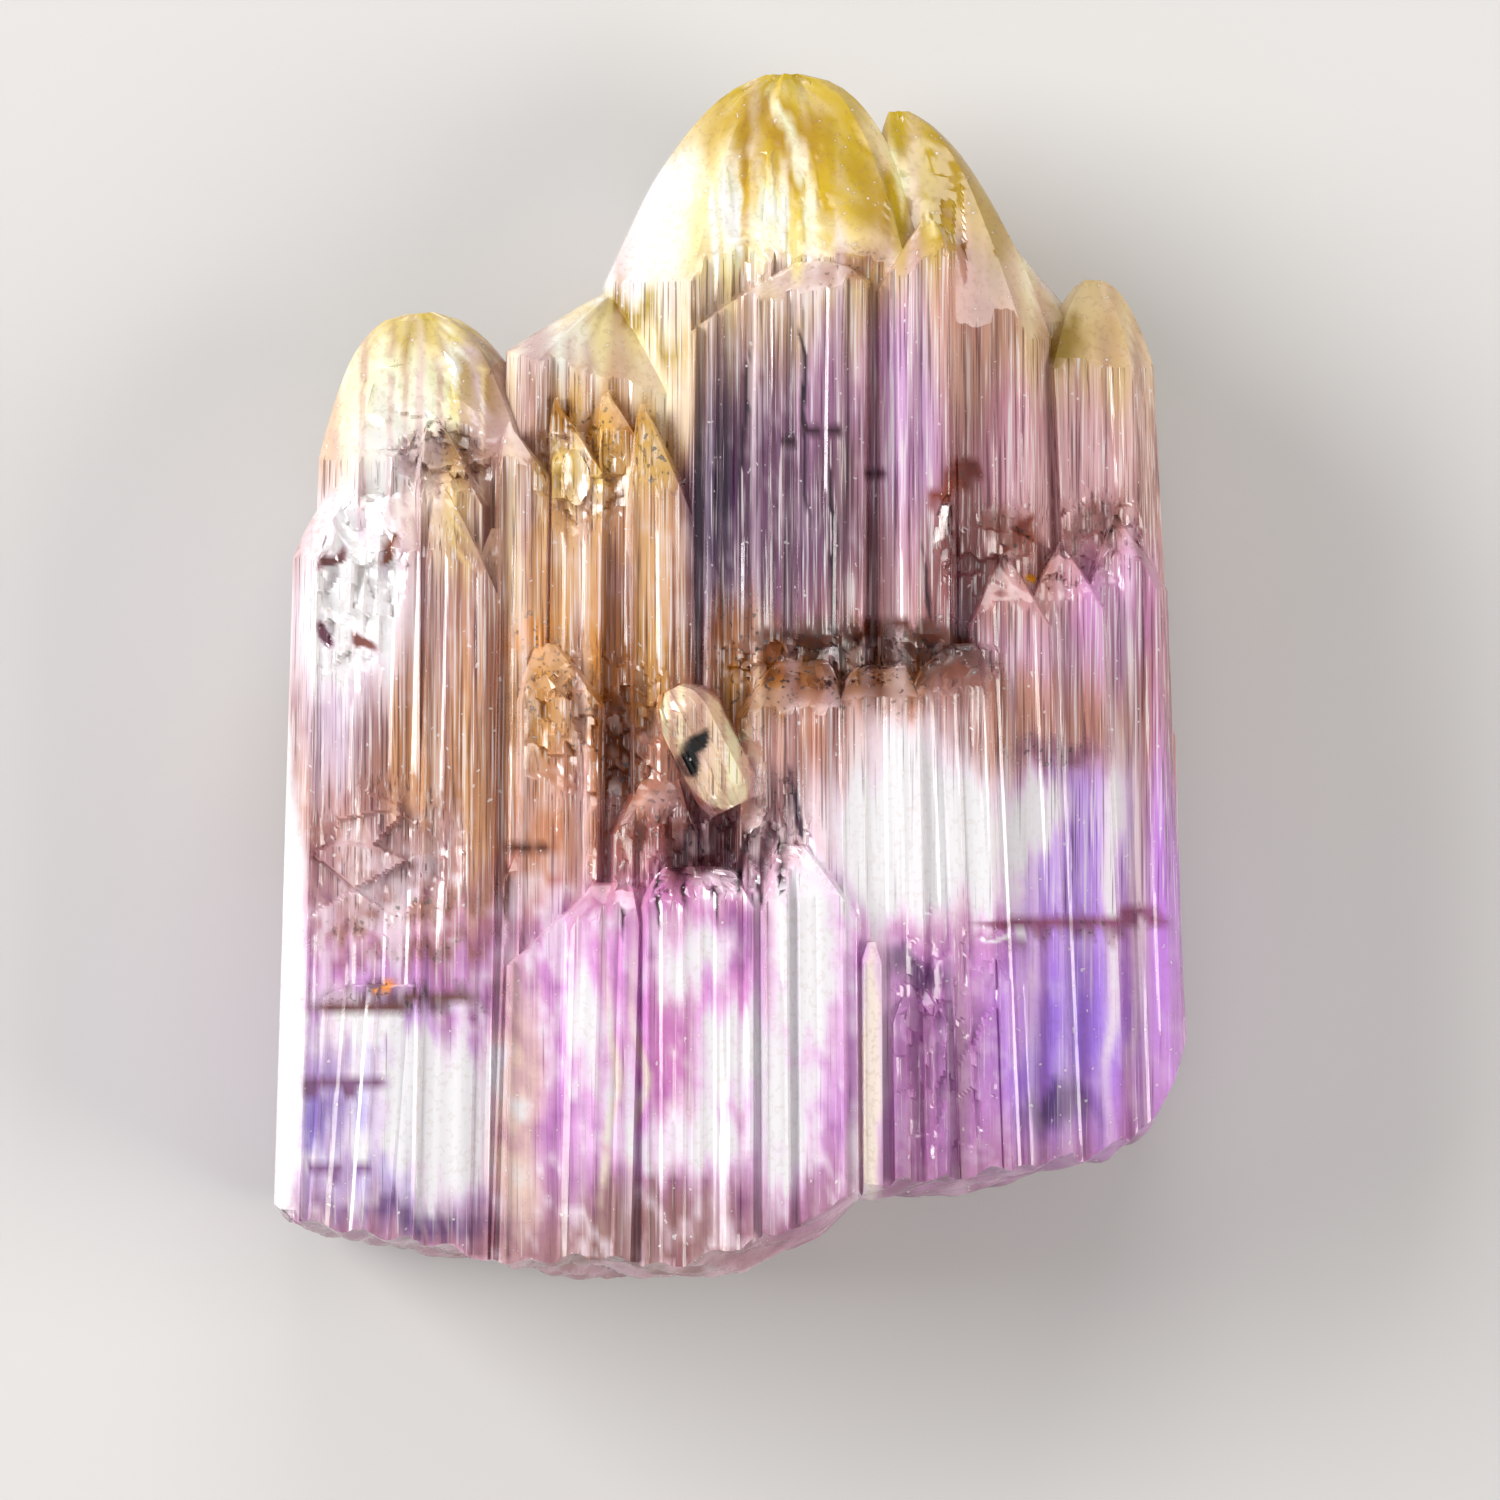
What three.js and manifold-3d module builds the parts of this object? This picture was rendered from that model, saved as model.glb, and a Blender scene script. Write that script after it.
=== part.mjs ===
// A tanzanite specimen: a flattened bundle of parallel zoisite prisms that grew into one another.
// It lies on its back. X runs across the bundle, Y along the prisms towards their rounded tips,
// and Z up from the resting faces. The origin is under the middle of the bundle. Millimetres.
import * as THREE from "three";
import { mergeVertices } from "three/addons/utils/BufferGeometryUtils.js";
import Module from "manifold-3d";

const wasm = await Module();
wasm.setup();

// Driving dimensions of the specimen
const HALF_LENGTH = 12.1; // the tallest tip and the lowest point of the base are this far from the middle
const FOOT_LEVEL = -11; // the y at which the prisms' feet are placed
const FOOT_Y = -14; // every prism is drawn past the base, and the fracture then cuts it off
const STEP_RISE = 0.055; // the width of the slope between two striation steps
const DOME_RINGS = [0.8, 0.52, 0.26, 0.08]; // where a dome has its facet lines, as shares of its height
const APEX_SCALE = 0.08; // how small the last ring of a dome is
const FACET_CURVE = 0.75; // the curve of a dome's front and back facets, where 1 is flat
const SKIN = 0.02; // the smooth envelope of a prism stands this far off its striated shaft
const SLIVER = 0.012; // triangles thinner than this are folded into their neighbours

// Each prism of the bundle, from the back of the specimen to its front.
//   foot, axis: x of its middle line at y = FOOT_LEVEL and at the shoulder of its rounded end
//   tip: [x, y] of its highest point; dome: how far the rounded end reaches down from there
//   half: half the width; back, front: the heights of its two broad faces
//   round: the curve of the dome's left and right sides, from 0.35 for a full curve to 1 for a
//   straight slope; edge: the share of the width that the tip keeps, as a chisel's edge does
//   lean: where the tip lies between the back face, 0, and the front face, 1
//   slant: how much higher the dome begins on its left than in its middle
//   bevel: the widths of the narrow faces left and right of the front face
//   steps: striation steps across the front face; relief: their depth
const PRISMS = [
  // The prisms whose rounded ends make the skyline
  { name: "tallest", foot: 0.5, axis: 0.83, tip: [1.1, 12.1], dome: 4.3, half: 3.4, back: 0, front: 6.6,
    round: [0.5, 0.4], edge: 0.06, lean: 0.5, bevel: [1.8, 0.7], steps: 15, relief: 0.42 },
  { name: "second", foot: 4.9, axis: 4.5, tip: [3.2, 11.35], dome: 4.7, half: 1.9, back: 0.5, front: 6.2,
    round: [0.5, 0.5], edge: 0.05, lean: 0.55, bevel: [0.4, 0.6], steps: 9, relief: 0.25 },
  { name: "pale_shoulder", foot: 6.4, axis: 5.8, tip: [5.45, 8.9], dome: 1.9, half: 1.2, back: 1.4,
    front: 4.6, round: [0.8, 0.9], edge: 0, lean: 0.4, bevel: [0.3, 0.3], steps: 3, relief: 0.1 },
  { name: "right_edge", foot: 8.1, axis: 7.25, tip: [7.25, 8.0], dome: 1.9, half: 1.18, back: 0.8,
    front: 5.5, round: [0.5, 0.5], edge: 0.1, lean: 0.6, bevel: [0.3, 0.5], steps: 7, relief: 0.18 },
  { name: "left_middle", foot: -2.9, axis: -2.55, tip: [-2.25, 7.85], dome: 2.0, half: 1.95, back: 0.5,
    front: 6.1, round: [0.9, 0.6], edge: 0, lean: 0.6, slant: 0.65, bevel: [0.7, 0.3], steps: 8,
    relief: 0.2 },
  { name: "left_tall", foot: -6.4, axis: -5.85, tip: [-6.2, 7.35], dome: 3.1, half: 2.38, back: 0.3,
    front: 5.9, round: [0.36, 0.44], edge: 0.08, lean: 0.55, bevel: [0.9, 0.6], steps: 8, relief: 0.2 },
  // The prisms of the back
  { name: "back_left", foot: -4.9, axis: -4.6, tip: [-4.4, 2.6], dome: 1.8, half: 1.3, back: 0, front: 3,
    round: [0.7, 0.9], edge: 0.2, lean: 0.15, bevel: [0.3, 0.3], steps: 5, relief: 0 },
  { name: "back_right", foot: 5.2, axis: 4.8, tip: [4.4, -0.6], dome: 1.6, half: 1.25, back: 0, front: 3,
    round: [0.7, 0.9], edge: 0.1, lean: 0.12, bevel: [0.3, 0.3], steps: 5, relief: 0 },
  { name: "back_rib", foot: -7.5, axis: -7.1, tip: [-7.3, -1.2], dome: 1.2, half: 0.7, back: 0.12,
    front: 3, round: [0.7, 0.9], edge: 0.1, lean: 0.1, bevel: [0.2, 0.2], steps: 3, relief: 0.06 },
  { name: "back_edge", foot: 7.5, axis: 7.0, tip: [6.8, 3.4], dome: 1.4, half: 0.8, back: 0.35, front: 3,
    round: [0.8, 0.8], edge: 0.1, lean: 0.12, bevel: [0.2, 0.2], steps: 4, relief: 0.08 },
  // The narrow prisms that show on the left and right sides
  { name: "left_side", foot: -8.1, axis: -7.75, tip: [-7.9, 1.0], dome: 2.2, half: 0.98, back: 1.3,
    front: 4.6, round: [0.6, 0.6], edge: 0.1, lean: 0.5, bevel: [0.25, 0.25], steps: 3, relief: 0.1 },
  { name: "right_side", foot: 8.2, axis: 7.9, tip: [7.9, 0.4], dome: 1.6, half: 0.98, back: 1.6,
    front: 4.4, round: [0.6, 0.5], edge: 0.1, lean: 0.6, bevel: [0.25, 0.3], steps: 3, relief: 0.1 },
  // The left front
  { name: "left_front", foot: -7.1, axis: -6.7, tip: [-6.75, 4.2], dome: 1.9, half: 2.0, back: 0.6,
    front: 6.55, round: [0.4, 0.55], edge: 0.1, lean: 0.8, bevel: [0.6, 0.3], steps: 8, relief: 0.16 },
  { name: "left_front_slope", foot: -5.5, axis: -5.2, tip: [-5.75, 3.9], dome: 2.4, half: 0.95, back: 2,
    front: 6.85, round: [0.5, 0.75], edge: 0, lean: 0.9, slant: 0.3, bevel: [0.2, 0.2], steps: 4,
    relief: 0.14 },
  { name: "left_joint", foot: -4.75, axis: -4.45, tip: [-4.6, 3.0], dome: 1.7, half: 0.85, back: 2,
    front: 6.7, round: [0.7, 0.7], edge: 0.1, lean: 0.92, bevel: [0.12, 0.12], steps: 5, relief: 0.12 },
  { name: "left_lower", foot: -6.85, axis: -6.5, tip: [-5.6, -5.95], dome: 0.3, half: 1.95, back: 2,
    front: 6.64, round: [0.8, 0.8], edge: 0.8, lean: 0.97, bevel: [0.5, 0.2], steps: 9, relief: 0.1 },
  { name: "stripe", foot: -4.35, axis: -4.1, tip: [-4.05, -3.3], dome: 0.7, half: 0.42, back: 3,
    front: 7.15, round: [0.7, 0.7], edge: 0.2, lean: 0.9, bevel: [0.1, 0.1], steps: 2, relief: 0.08 },
  // The small pointed prisms that step down from left to right
  { name: "lump", foot: -5.6, axis: -5.5, tip: [-5.9, 5.15], dome: 1.8, half: 0.8, back: 3, front: 6.6,
    round: [0.5, 0.8], edge: 0.1, lean: 0.75, bevel: [0.2, 0.2], steps: 2, relief: 0.15 },
  { name: "point_1", foot: -4.3, axis: -4.05, tip: [-4.35, 5.1], dome: 1.2, half: 0.6, back: 2.5,
    front: 6.85, round: [0.5, 0.9], edge: 0, lean: 0.88, bevel: [0.12, 0.15], steps: 3, relief: 0.14 },
  { name: "point_2", foot: -3.2, axis: -3.0, tip: [-3.45, 5.6], dome: 1.6, half: 0.64, back: 2.5,
    front: 6.6, round: [0.5, 0.95], edge: 0, lean: 0.9, bevel: [0.12, 0.15], steps: 3, relief: 0.14 },
  { name: "point_3", foot: -2.3, axis: -2.1, tip: [-2.45, 5.7], dome: 1.3, half: 0.6, back: 2.5,
    front: 6.5, round: [0.5, 0.85], edge: 0, lean: 0.88, bevel: [0.12, 0.15], steps: 3, relief: 0.12 },
  { name: "point_4", foot: -1.2, axis: -1.3, tip: [-1.75, 5.45], dome: 2.4, half: 0.76, back: 2.5,
    front: 6.95, round: [0.5, 0.8], edge: 0, lean: 0.9, bevel: [0.12, 0.2], steps: 4, relief: 0.16 },
  { name: "brown_step", foot: -3.5, axis: -3.35, tip: [-3.7, 0.75], dome: 1.3, half: 0.95, back: 3,
    front: 7.2, round: [0.6, 0.75], edge: 0.2, lean: 0.86, bevel: [0.2, 0.2], steps: 5, relief: 0.16 },
  { name: "tawny_step", foot: -1.5, axis: -1.5, tip: [-1.3, -1.6], dome: 1.5, half: 0.95, back: 3,
    front: 7.25, round: [0.7, 0.6], edge: 0.15, lean: 0.86, bevel: [0.2, 0.2], steps: 5, relief: 0.16 },
  // The dark recessed prisms under the tallest dome
  { name: "dark_1", foot: 0.75, axis: 0.95, tip: [1.9, 8.25], dome: 0.95, half: 1.9, back: 2,
    front: 6.95, round: [0.75, 0.45], edge: 0.15, lean: 0.88, slant: -0.5, bevel: [0.25, 0.2],
    steps: 12, relief: 0.3 },
  { name: "dark_2", foot: 3.7, axis: 3.62, tip: [3.95, 9.05], dome: 1.1, half: 0.85, back: 2, front: 6.8,
    round: [0.8, 0.5], edge: 0.1, lean: 0.85, slant: -0.4, bevel: [0.15, 0.2], steps: 4, relief: 0.16 },
  // The lower front, whose blunt tips make the brown ledge and the ragged purple step
  { name: "ledge_right", foot: 4.6, axis: 4.2, tip: [4.7, 0.75], dome: 1.2, half: 1.05, back: 3,
    front: 7.4, round: [0.8, 0.7], edge: 0.3, lean: 0.8, bevel: [0.2, 0.3], steps: 5, relief: 0.18 },
  { name: "ledge_middle", foot: 3.1, axis: 2.95, tip: [3.1, 0.3], dome: 0.8, half: 0.95, back: 3,
    front: 7.55, round: [0.6, 0.7], edge: 0.5, lean: 0.82, bevel: [0.15, 0.2], steps: 5, relief: 0.18 },
  { name: "ledge_left", foot: 1.3, axis: 1.25, tip: [1.55, 0.6], dome: 1.4, half: 1.2, back: 3,
    front: 7.6, round: [0.8, 0.7], edge: 0.35, lean: 0.8, bevel: [0.2, 0.2], steps: 6, relief: 0.18 },
  { name: "ragged_left", foot: -3.2, axis: -3.05, tip: [-2.0, -3.95], dome: 1.3, half: 1.45, back: 3,
    front: 7.55, round: [0.9, 0.8], edge: 0.25, lean: 0.92, slant: -0.4, bevel: [0.2, 0.2], steps: 8,
    relief: 0.14 },
  { name: "ragged_middle", foot: -0.6, axis: -0.6, tip: [-0.7, -3.65], dome: 0.9, half: 1.25, back: 3,
    front: 7.8, round: [0.6, 0.6], edge: 0.5, lean: 0.92, bevel: [0.2, 0.2], steps: 8, relief: 0.14 },
  { name: "ragged_right", foot: 1.6, axis: 1.55, tip: [1.1, -3.2], dome: 1.5, half: 1.1, back: 3,
    front: 7.95, round: [0.7, 0.8], edge: 0.2, lean: 0.92, bevel: [0.2, 0.2], steps: 6, relief: 0.2 },
  { name: "bright_rib", foot: 2.8, axis: 2.77, tip: [2.75, -5.1], dome: 0.5, half: 0.25, back: 4,
    front: 8.05, round: [0.8, 0.8], edge: 0.3, lean: 0.9, bevel: [0.06, 0.06], steps: 1, relief: 0 },
  { name: "etched_1", foot: 3.75, axis: 3.7, tip: [3.6, -6.0], dome: 0.8, half: 0.64, back: 4, front: 7.7,
    round: [0.7, 0.8], edge: 0.3, lean: 0.9, bevel: [0.12, 0.12], steps: 4, relief: 0.2 },
  { name: "etched_2", foot: 5.05, axis: 4.9, tip: [4.8, -4.9], dome: 1.1, half: 0.66, back: 3,
    front: 7.35, round: [0.7, 0.7], edge: 0.1, lean: 0.9, bevel: [0.12, 0.15], steps: 4, relief: 0.2 },
  // The zigzag of small tips on the right
  { name: "zigzag_1", foot: 6.05, axis: 5.5, tip: [5.4, 2.5], dome: 1.5, half: 0.92, back: 3, front: 6.6,
    round: [0.8, 0.9], edge: 0, lean: 0.9, bevel: [0.15, 0.15], steps: 3, relief: 0.12 },
  { name: "zigzag_2", foot: 7.15, axis: 6.6, tip: [6.5, 2.75], dome: 1.4, half: 0.88, back: 3, front: 6.3,
    round: [0.9, 0.9], edge: 0, lean: 0.9, bevel: [0.15, 0.15], steps: 3, relief: 0.12 },
  { name: "zigzag_3", foot: 8.25, axis: 7.8, tip: [7.6, 3.3], dome: 1.6, half: 0.88, back: 3, front: 5.9,
    round: [0.9, 0.8], edge: 0, lean: 0.9, bevel: [0.15, 0.3], steps: 4, relief: 0.14 },
];

// The small crystal that lies askew in a pocket of the front
const ASKEW = { centre: [-0.48, -1.3, 6.95], half: 0.68, length: 2.6, depth: 1.9, turn: 27 };

// Hollows: centre, radii along X, Y and Z, and the turn about Z in degrees
const HOLLOWS = [
  { name: "askew_pocket", at: [-0.45, -1.4, 8.2], radii: [1.45, 2.2, 1.3], turn: 25 },
  { name: "brown_hollow", at: [-2.15, -1.2, 7.9], radii: [0.7, 1.7, 0.85], turn: 8 },
  { name: "cream_hollow", at: [-3.05, 4.0, 7.2], radii: [0.45, 1.0, 0.9], turn: 5 },
  { name: "etch_pit", at: [3.9, -5.6, 8.1], radii: [0.75, 0.4, 0.75], turn: -15 },
  { name: "etch_slot", at: [4.35, -7.8, 8.0], radii: [0.2, 2.1, 0.65], turn: 4 },
  { name: "splintered_left", at: [-8.7, 1.2, 7.4], radii: [1.0, 2.3, 1.1], turn: -8 },
  { name: "dark_notch", at: [1.15, -2.4, 8.3], radii: [0.35, 1.3, 0.9], turn: 10 },
  { name: "right_notch", at: [4.75, 3.4, 7.1], radii: [0.75, 1.5, 0.9], turn: -30 },
  { name: "left_chip", at: [-9.2, -10.9, 6.6], radii: [0.9, 0.8, 1.4], turn: 20 },
];

// The fractured base: its outline seen from the front, from left to right, as [x, y]
const BASE_OUTLINE = [
  [-9.6, -9.9], [-8.8, -11.05], [-6.6, -11.5], [-3.8, -11.95], [-1.6, -HALF_LENGTH], [0.2, -11.95],
  [1.8, -11.2], [2.5, -10.6], [5.6, -10.2], [7.4, -9.65], [8.3, -9.15], [8.9, -8.0], [9.3, -6.2],
];
const BASE_BULGE = 0.3; // how far the middle of the base stands out past its front and back edges
const BASE_LUMP = 0.14; // the height of its low ripples
const BASE_COLUMNS = 26;
const BASE_ROWS = 7;
const BASE_MID_HEIGHT = 3.6; // the height at which the base stands out most

// A repeatable number from 0 to 1 for each pair of whole numbers
function scatter(a, b) {
  const wave = Math.sin(a * 12.9898 + b * 78.233) * 43758.5453;
  return wave - Math.floor(wave);
}

function mix(from, to, share) {
  return from + (to - from) * share;
}

// The height of a polyline of [x, y] points at x
function polylineAt(points, x) {
  for (let i = 1; i < points.length; i++) {
    const [x0, y0] = points[i - 1];
    const [x1, y1] = points[i];
    if (x <= x1 || i === points.length - 1) return mix(y0, y1, (x - x0) / (x1 - x0));
  }
}

// Flat striation steps across a broad face, as [x, depth] pairs from its left to its right
function striations(left, right, steps, relief, seed) {
  const widths = Array.from({ length: steps }, (_, i) => 0.35 + scatter(seed, i));
  const total = widths.reduce((sum, w) => sum + w, 0);
  const points = [];
  let x = left;
  widths.forEach((width, i) => {
    const end = x + ((right - left) * width) / total;
    const depth = relief * scatter(seed + 0.5, i + 3);
    points.push([x + STEP_RISE / 2, depth], [end - STEP_RISE / 2, depth]);
    x = end;
  });
  return points;
}

// The cross-section of a prism as [x, z] points, from the back left round to the front left. Under
// and over are the points of its broad back and front faces, both from left to right.
function sectionOf({ half, back, front, bevel }, under, over) {
  const [left, right] = bevel;
  const deep = (width) => Math.min(1.1 * width + 0.5, 0.4 * (front - back));
  const low = back + deep(backBevelOf(half)) * 0.7;
  const waist = mix(back, front, 0.45);
  return [
    ...under.map(([x, depth]) => [x, back + depth]),
    [half * 0.97, low],
    [half, waist],
    [half * 0.98, front - deep(right)],
    ...over.map(([x, depth]) => [x, front - depth]).reverse(),
    [-half * 0.98, front - deep(left)],
    [-half, waist],
    [-half * 0.97, low],
  ];
}

function backBevelOf(half) {
  return Math.min(0.25 * half, 0.6);
}

// The section of the shaft, whose broad faces are stepped
function steppedSection(prism, seed) {
  const { half, back, steps, relief, bevel } = prism;
  const flat = back === 0 ? 0 : relief * 0.7; // the resting faces stay flat
  const inner = half - backBevelOf(half);
  const under = striations(-inner, inner, Math.ceil(steps / 2), flat, seed + 31);
  const over = striations(-half + bevel[0], half - bevel[1], steps, relief, seed + 7);
  return sectionOf(prism, under, over);
}

// The section of the smooth envelope round the shaft, a skin's width outside it
function smoothSection(prism) {
  const { half, bevel } = prism;
  const inner = half - backBevelOf(half);
  const under = [[-inner, -SKIN], [inner, -SKIN]];
  const over = [[-half + bevel[0], -SKIN], [half - bevel[1], -SKIN]];
  return sectionOf(prism, under, over).map(([x, z]) => [x * (1 + SKIN / half), z]);
}

// A closed solid from rings of equal length, each an array of Vector3, capped flat at both ends
function loft(rings) {
  const count = rings[0].length;
  const points = rings.flat();
  const faces = [];
  for (let r = 0; r + 1 < rings.length; r++) {
    for (let i = 0; i < count; i++) {
      const a = r * count + i;
      const b = r * count + ((i + 1) % count);
      faces.push(a, a + count, b + count, a, b + count, b);
    }
  }
  const middle = (ring) => ring.reduce((sum, p) => sum.add(p), new THREE.Vector3()).divideScalar(count);
  const foot = points.push(middle(rings[0])) - 1;
  const crown = points.push(middle(rings.at(-1))) - 1;
  const last = (rings.length - 1) * count;
  for (let i = 0; i < count; i++) {
    const next = (i + 1) % count;
    faces.push(foot, i, next, crown, last + next, last + i);
  }
  return new THREE.BufferGeometry().setFromPoints(points).setIndex(faces);
}

// The striated shaft of a prism, which leans a little and runs past its tip
function shaftGeometry(prism, seed) {
  const { foot, axis, tip, dome } = prism;
  const slope = (axis - foot) / (tip[1] - dome - FOOT_LEVEL);
  return loft([FOOT_Y, tip[1] + 1].map((y) => steppedSection(prism, seed)
    .map(([x, z]) => new THREE.Vector3(foot + slope * (y - FOOT_LEVEL) + x, y, z))));
}

// The smooth envelope of a prism, drawn in to its tip by flat facets
function envelopeGeometry(prism) {
  const { foot, axis, tip, dome, half, back, front, round, edge, lean, slant = 0 } = prism;
  const outline = smoothSection(prism);
  const slope = (axis - foot) / (tip[1] - dome - FOOT_LEVEL);
  const tipZ = mix(back, front, lean);
  const spread = (down, power) => Math.max(down ** power, APEX_SCALE);
  const across = (x, down) => {
    const curve = x < tip[0] ? round[0] : round[1];
    return mix(tip[0], x, mix(edge, 1, spread(down, curve)));
  };
  const through = (z, down) => mix(tipZ, z, spread(down, FACET_CURVE));
  const footRing = outline.map(([x, z]) =>
    new THREE.Vector3(foot + slope * (FOOT_Y - FOOT_LEVEL) + x, FOOT_Y - 1, z));
  const rounded = [1, ...DOME_RINGS, 0].map((down) => outline.map(([x, z]) => {
    const y = tip[1] - dome * down - ((slant * x) / half) * down;
    return new THREE.Vector3(across(axis + x, down), y, through(z, down));
  }));
  return loft([footRing, ...rounded]);
}

// A three.js geometry as a solid that can be joined and cut
function solidOf(geometry) {
  const bare = geometry.index ? geometry.toNonIndexed() : geometry.clone();
  bare.deleteAttribute("normal");
  bare.deleteAttribute("uv");
  const merged = mergeVertices(bare, 1e-4);
  return new wasm.Manifold(new wasm.Mesh({
    numProp: 3,
    vertProperties: merged.attributes.position.array,
    triVerts: new Uint32Array(merged.index.array),
  }));
}

function geometryOf(solid) {
  const mesh = solid.getMesh();
  const geometry = new THREE.BufferGeometry();
  geometry.setAttribute("position", new THREE.BufferAttribute(mesh.vertProperties, 3));
  geometry.setIndex(new THREE.BufferAttribute(mesh.triVerts, 1));
  geometry.computeVertexNormals();
  return geometry;
}

// How far the base reaches down at a place across and through the specimen
function baseY(x, z) {
  const through = (z - BASE_MID_HEIGHT) / BASE_MID_HEIGHT;
  const ripple = Math.sin(x * 1.7 + z * 0.9) + Math.sin(x * 0.8 - z * 1.6 + 1);
  return polylineAt(BASE_OUTLINE, x) + BASE_BULGE * through * through + BASE_LUMP * (1 + ripple / 2);
}

// Everything above the fracture, as a block whose underside is the fractured surface
function aboveFracture() {
  const left = BASE_OUTLINE[0][0] - 1;
  const right = BASE_OUTLINE.at(-1)[0] + 1;
  const rings = [];
  for (let i = 0; i <= BASE_COLUMNS; i++) {
    const x = mix(left, right, i / BASE_COLUMNS);
    const ring = [];
    for (let j = 0; j <= BASE_ROWS; j++) {
      const z = mix(-1, 9.5, j / BASE_ROWS);
      ring.push(new THREE.Vector3(x, baseY(x, z), z));
    }
    ring.push(new THREE.Vector3(x, HALF_LENGTH + 3, 9.5), new THREE.Vector3(x, HALF_LENGTH + 3, -1));
    rings.push(ring);
  }
  return loft(rings);
}

function hollowGeometry({ at, radii, turn }) {
  return new THREE.IcosahedronGeometry(1, 1)
    .scale(...radii)
    .rotateZ(THREE.MathUtils.degToRad(turn))
    .translate(...at);
}

// The little crystal is a prism of its own, laid askew
function askewGeometry({ centre, half, length, depth, turn }) {
  const shape = { half, back: 0, front: depth, bevel: [0.15, 0.3], steps: 4, relief: 0.08 };
  const outline = steppedSection(shape, 90);
  const ring = (y, share) => outline.map(([x, z]) =>
    new THREE.Vector3(mix(-half * 0.2, x, share), y, mix(depth * 0.6, z, share)));
  const ends = [[-0.5, 0.75], [-0.36, 1], [0.3, 1], [0.42, 0.82], [0.5, 0.4]];
  return loft(ends.map(([along, share]) => ring(length * along, share)))
    .translate(0, 0, -depth / 2)
    .rotateZ(THREE.MathUtils.degToRad(turn))
    .translate(...centre);
}

function prismSolid(prism, seed) {
  return solidOf(shaftGeometry(prism, seed)).intersect(solidOf(envelopeGeometry(prism)));
}

function specimen() {
  let body = PRISMS.map((prism, place) => prismSolid(prism, place + 1))
    .reduce((joined, prism) => joined.add(prism));
  body = body.intersect(solidOf(aboveFracture()));
  for (const hollow of HOLLOWS) body = body.subtract(solidOf(hollowGeometry(hollow)));
  return body.add(solidOf(askewGeometry(ASKEW))).simplify(SLIVER);
}

// The geometry moved so that the middle of its footprint lies over the origin
function centred(geometry) {
  geometry.computeBoundingBox();
  const { min, max } = geometry.boundingBox;
  return geometry.translate(-(min.x + max.x) / 2, -(min.y + max.y) / 2, -min.z);
}

const crystal = new THREE.Mesh(
  centred(geometryOf(specimen())),
  new THREE.MeshStandardMaterial({ color: 0xb79cc6, roughness: 0.3, metalness: 0 }),
);
crystal.name = "tanzanite_crystal";

const group = new THREE.Group();
group.add(crystal);
export default group;
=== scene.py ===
# %% [markdown]
# # A rough tanzanite crystal, lying on its back
#
# The specimen is a flattened bundle of zoisite prisms that grew into one another. Their rounded
# tips point along +Y, the broken base along -Y, and the front face looks up. This notebook builds
# it from thin striated prisms, joins them into one solid, and gives the solid one clear, stained
# material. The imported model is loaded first, because every measure is in its frame.

import math

import bmesh
import bpy
import numpy as np
from mathutils import Matrix, Vector


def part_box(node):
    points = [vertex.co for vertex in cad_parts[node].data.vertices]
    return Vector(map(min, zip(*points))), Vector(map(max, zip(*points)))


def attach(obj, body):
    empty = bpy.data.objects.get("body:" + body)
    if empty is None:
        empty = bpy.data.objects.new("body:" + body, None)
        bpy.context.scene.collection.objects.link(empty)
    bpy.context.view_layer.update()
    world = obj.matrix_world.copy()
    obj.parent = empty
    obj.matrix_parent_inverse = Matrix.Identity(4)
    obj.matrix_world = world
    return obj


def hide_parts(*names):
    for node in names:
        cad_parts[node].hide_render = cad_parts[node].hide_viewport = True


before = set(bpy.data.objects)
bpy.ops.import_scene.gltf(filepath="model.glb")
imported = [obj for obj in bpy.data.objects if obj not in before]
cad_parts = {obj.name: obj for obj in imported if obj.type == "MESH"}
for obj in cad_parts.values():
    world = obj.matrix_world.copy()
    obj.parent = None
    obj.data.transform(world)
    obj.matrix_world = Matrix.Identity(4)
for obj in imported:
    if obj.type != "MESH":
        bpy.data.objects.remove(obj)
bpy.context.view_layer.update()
NODE = "tanzanite_crystal"
MM = 0.001

# %% [markdown]
# ## Camera
#
# The photograph looks straight at the front face, which lies upwards here, so the camera looks
# straight down. A long lens from a quarter of a metre keeps the parallel edges parallel, as a
# macro lens does. The width of the picture is measured at the height where the crystal's outline
# is widest, about half way up.

# %% The camera
PICTURE_WIDTH = 29.85 * MM
OUTLINE_HEIGHT = 3.5 * MM
CAMERA_DISTANCE = 250.0 * MM
PICTURE_CENTRE = (0.386 * MM, -1.455 * MM)
SENSOR_WIDTH = 36.0

camera_data = bpy.data.cameras.new("camera")
camera_data.sensor_fit = "HORIZONTAL"
camera_data.sensor_width = SENSOR_WIDTH
camera_data.lens = camera_data.sensor_width * CAMERA_DISTANCE / PICTURE_WIDTH
camera_data.clip_start = 0.01
camera = bpy.data.objects.new("camera", camera_data)
camera.location = (*PICTURE_CENTRE, OUTLINE_HEIGHT + CAMERA_DISTANCE)
bpy.context.scene.collection.objects.link(camera)
bpy.context.scene.camera = camera
print("lens in mm:", round(camera_data.lens, 1))

# %% [markdown]
# ## Studio
#
# A pale matt floor and a pale, even surrounding give a clear stone something bright to let
# through. Two broad soft lights stand low on the left and right, because light that rakes across
# striations draws them, and one stands behind the tips.

# %% Floor and surroundings
FLOOR_HALF = 0.6
FLOOR_COLOUR = (0.46, 0.45, 0.44, 1)
SKY_COLOUR = (0.95, 0.97, 1.0, 1)
SKY_STRENGTH = 0.46

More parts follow.
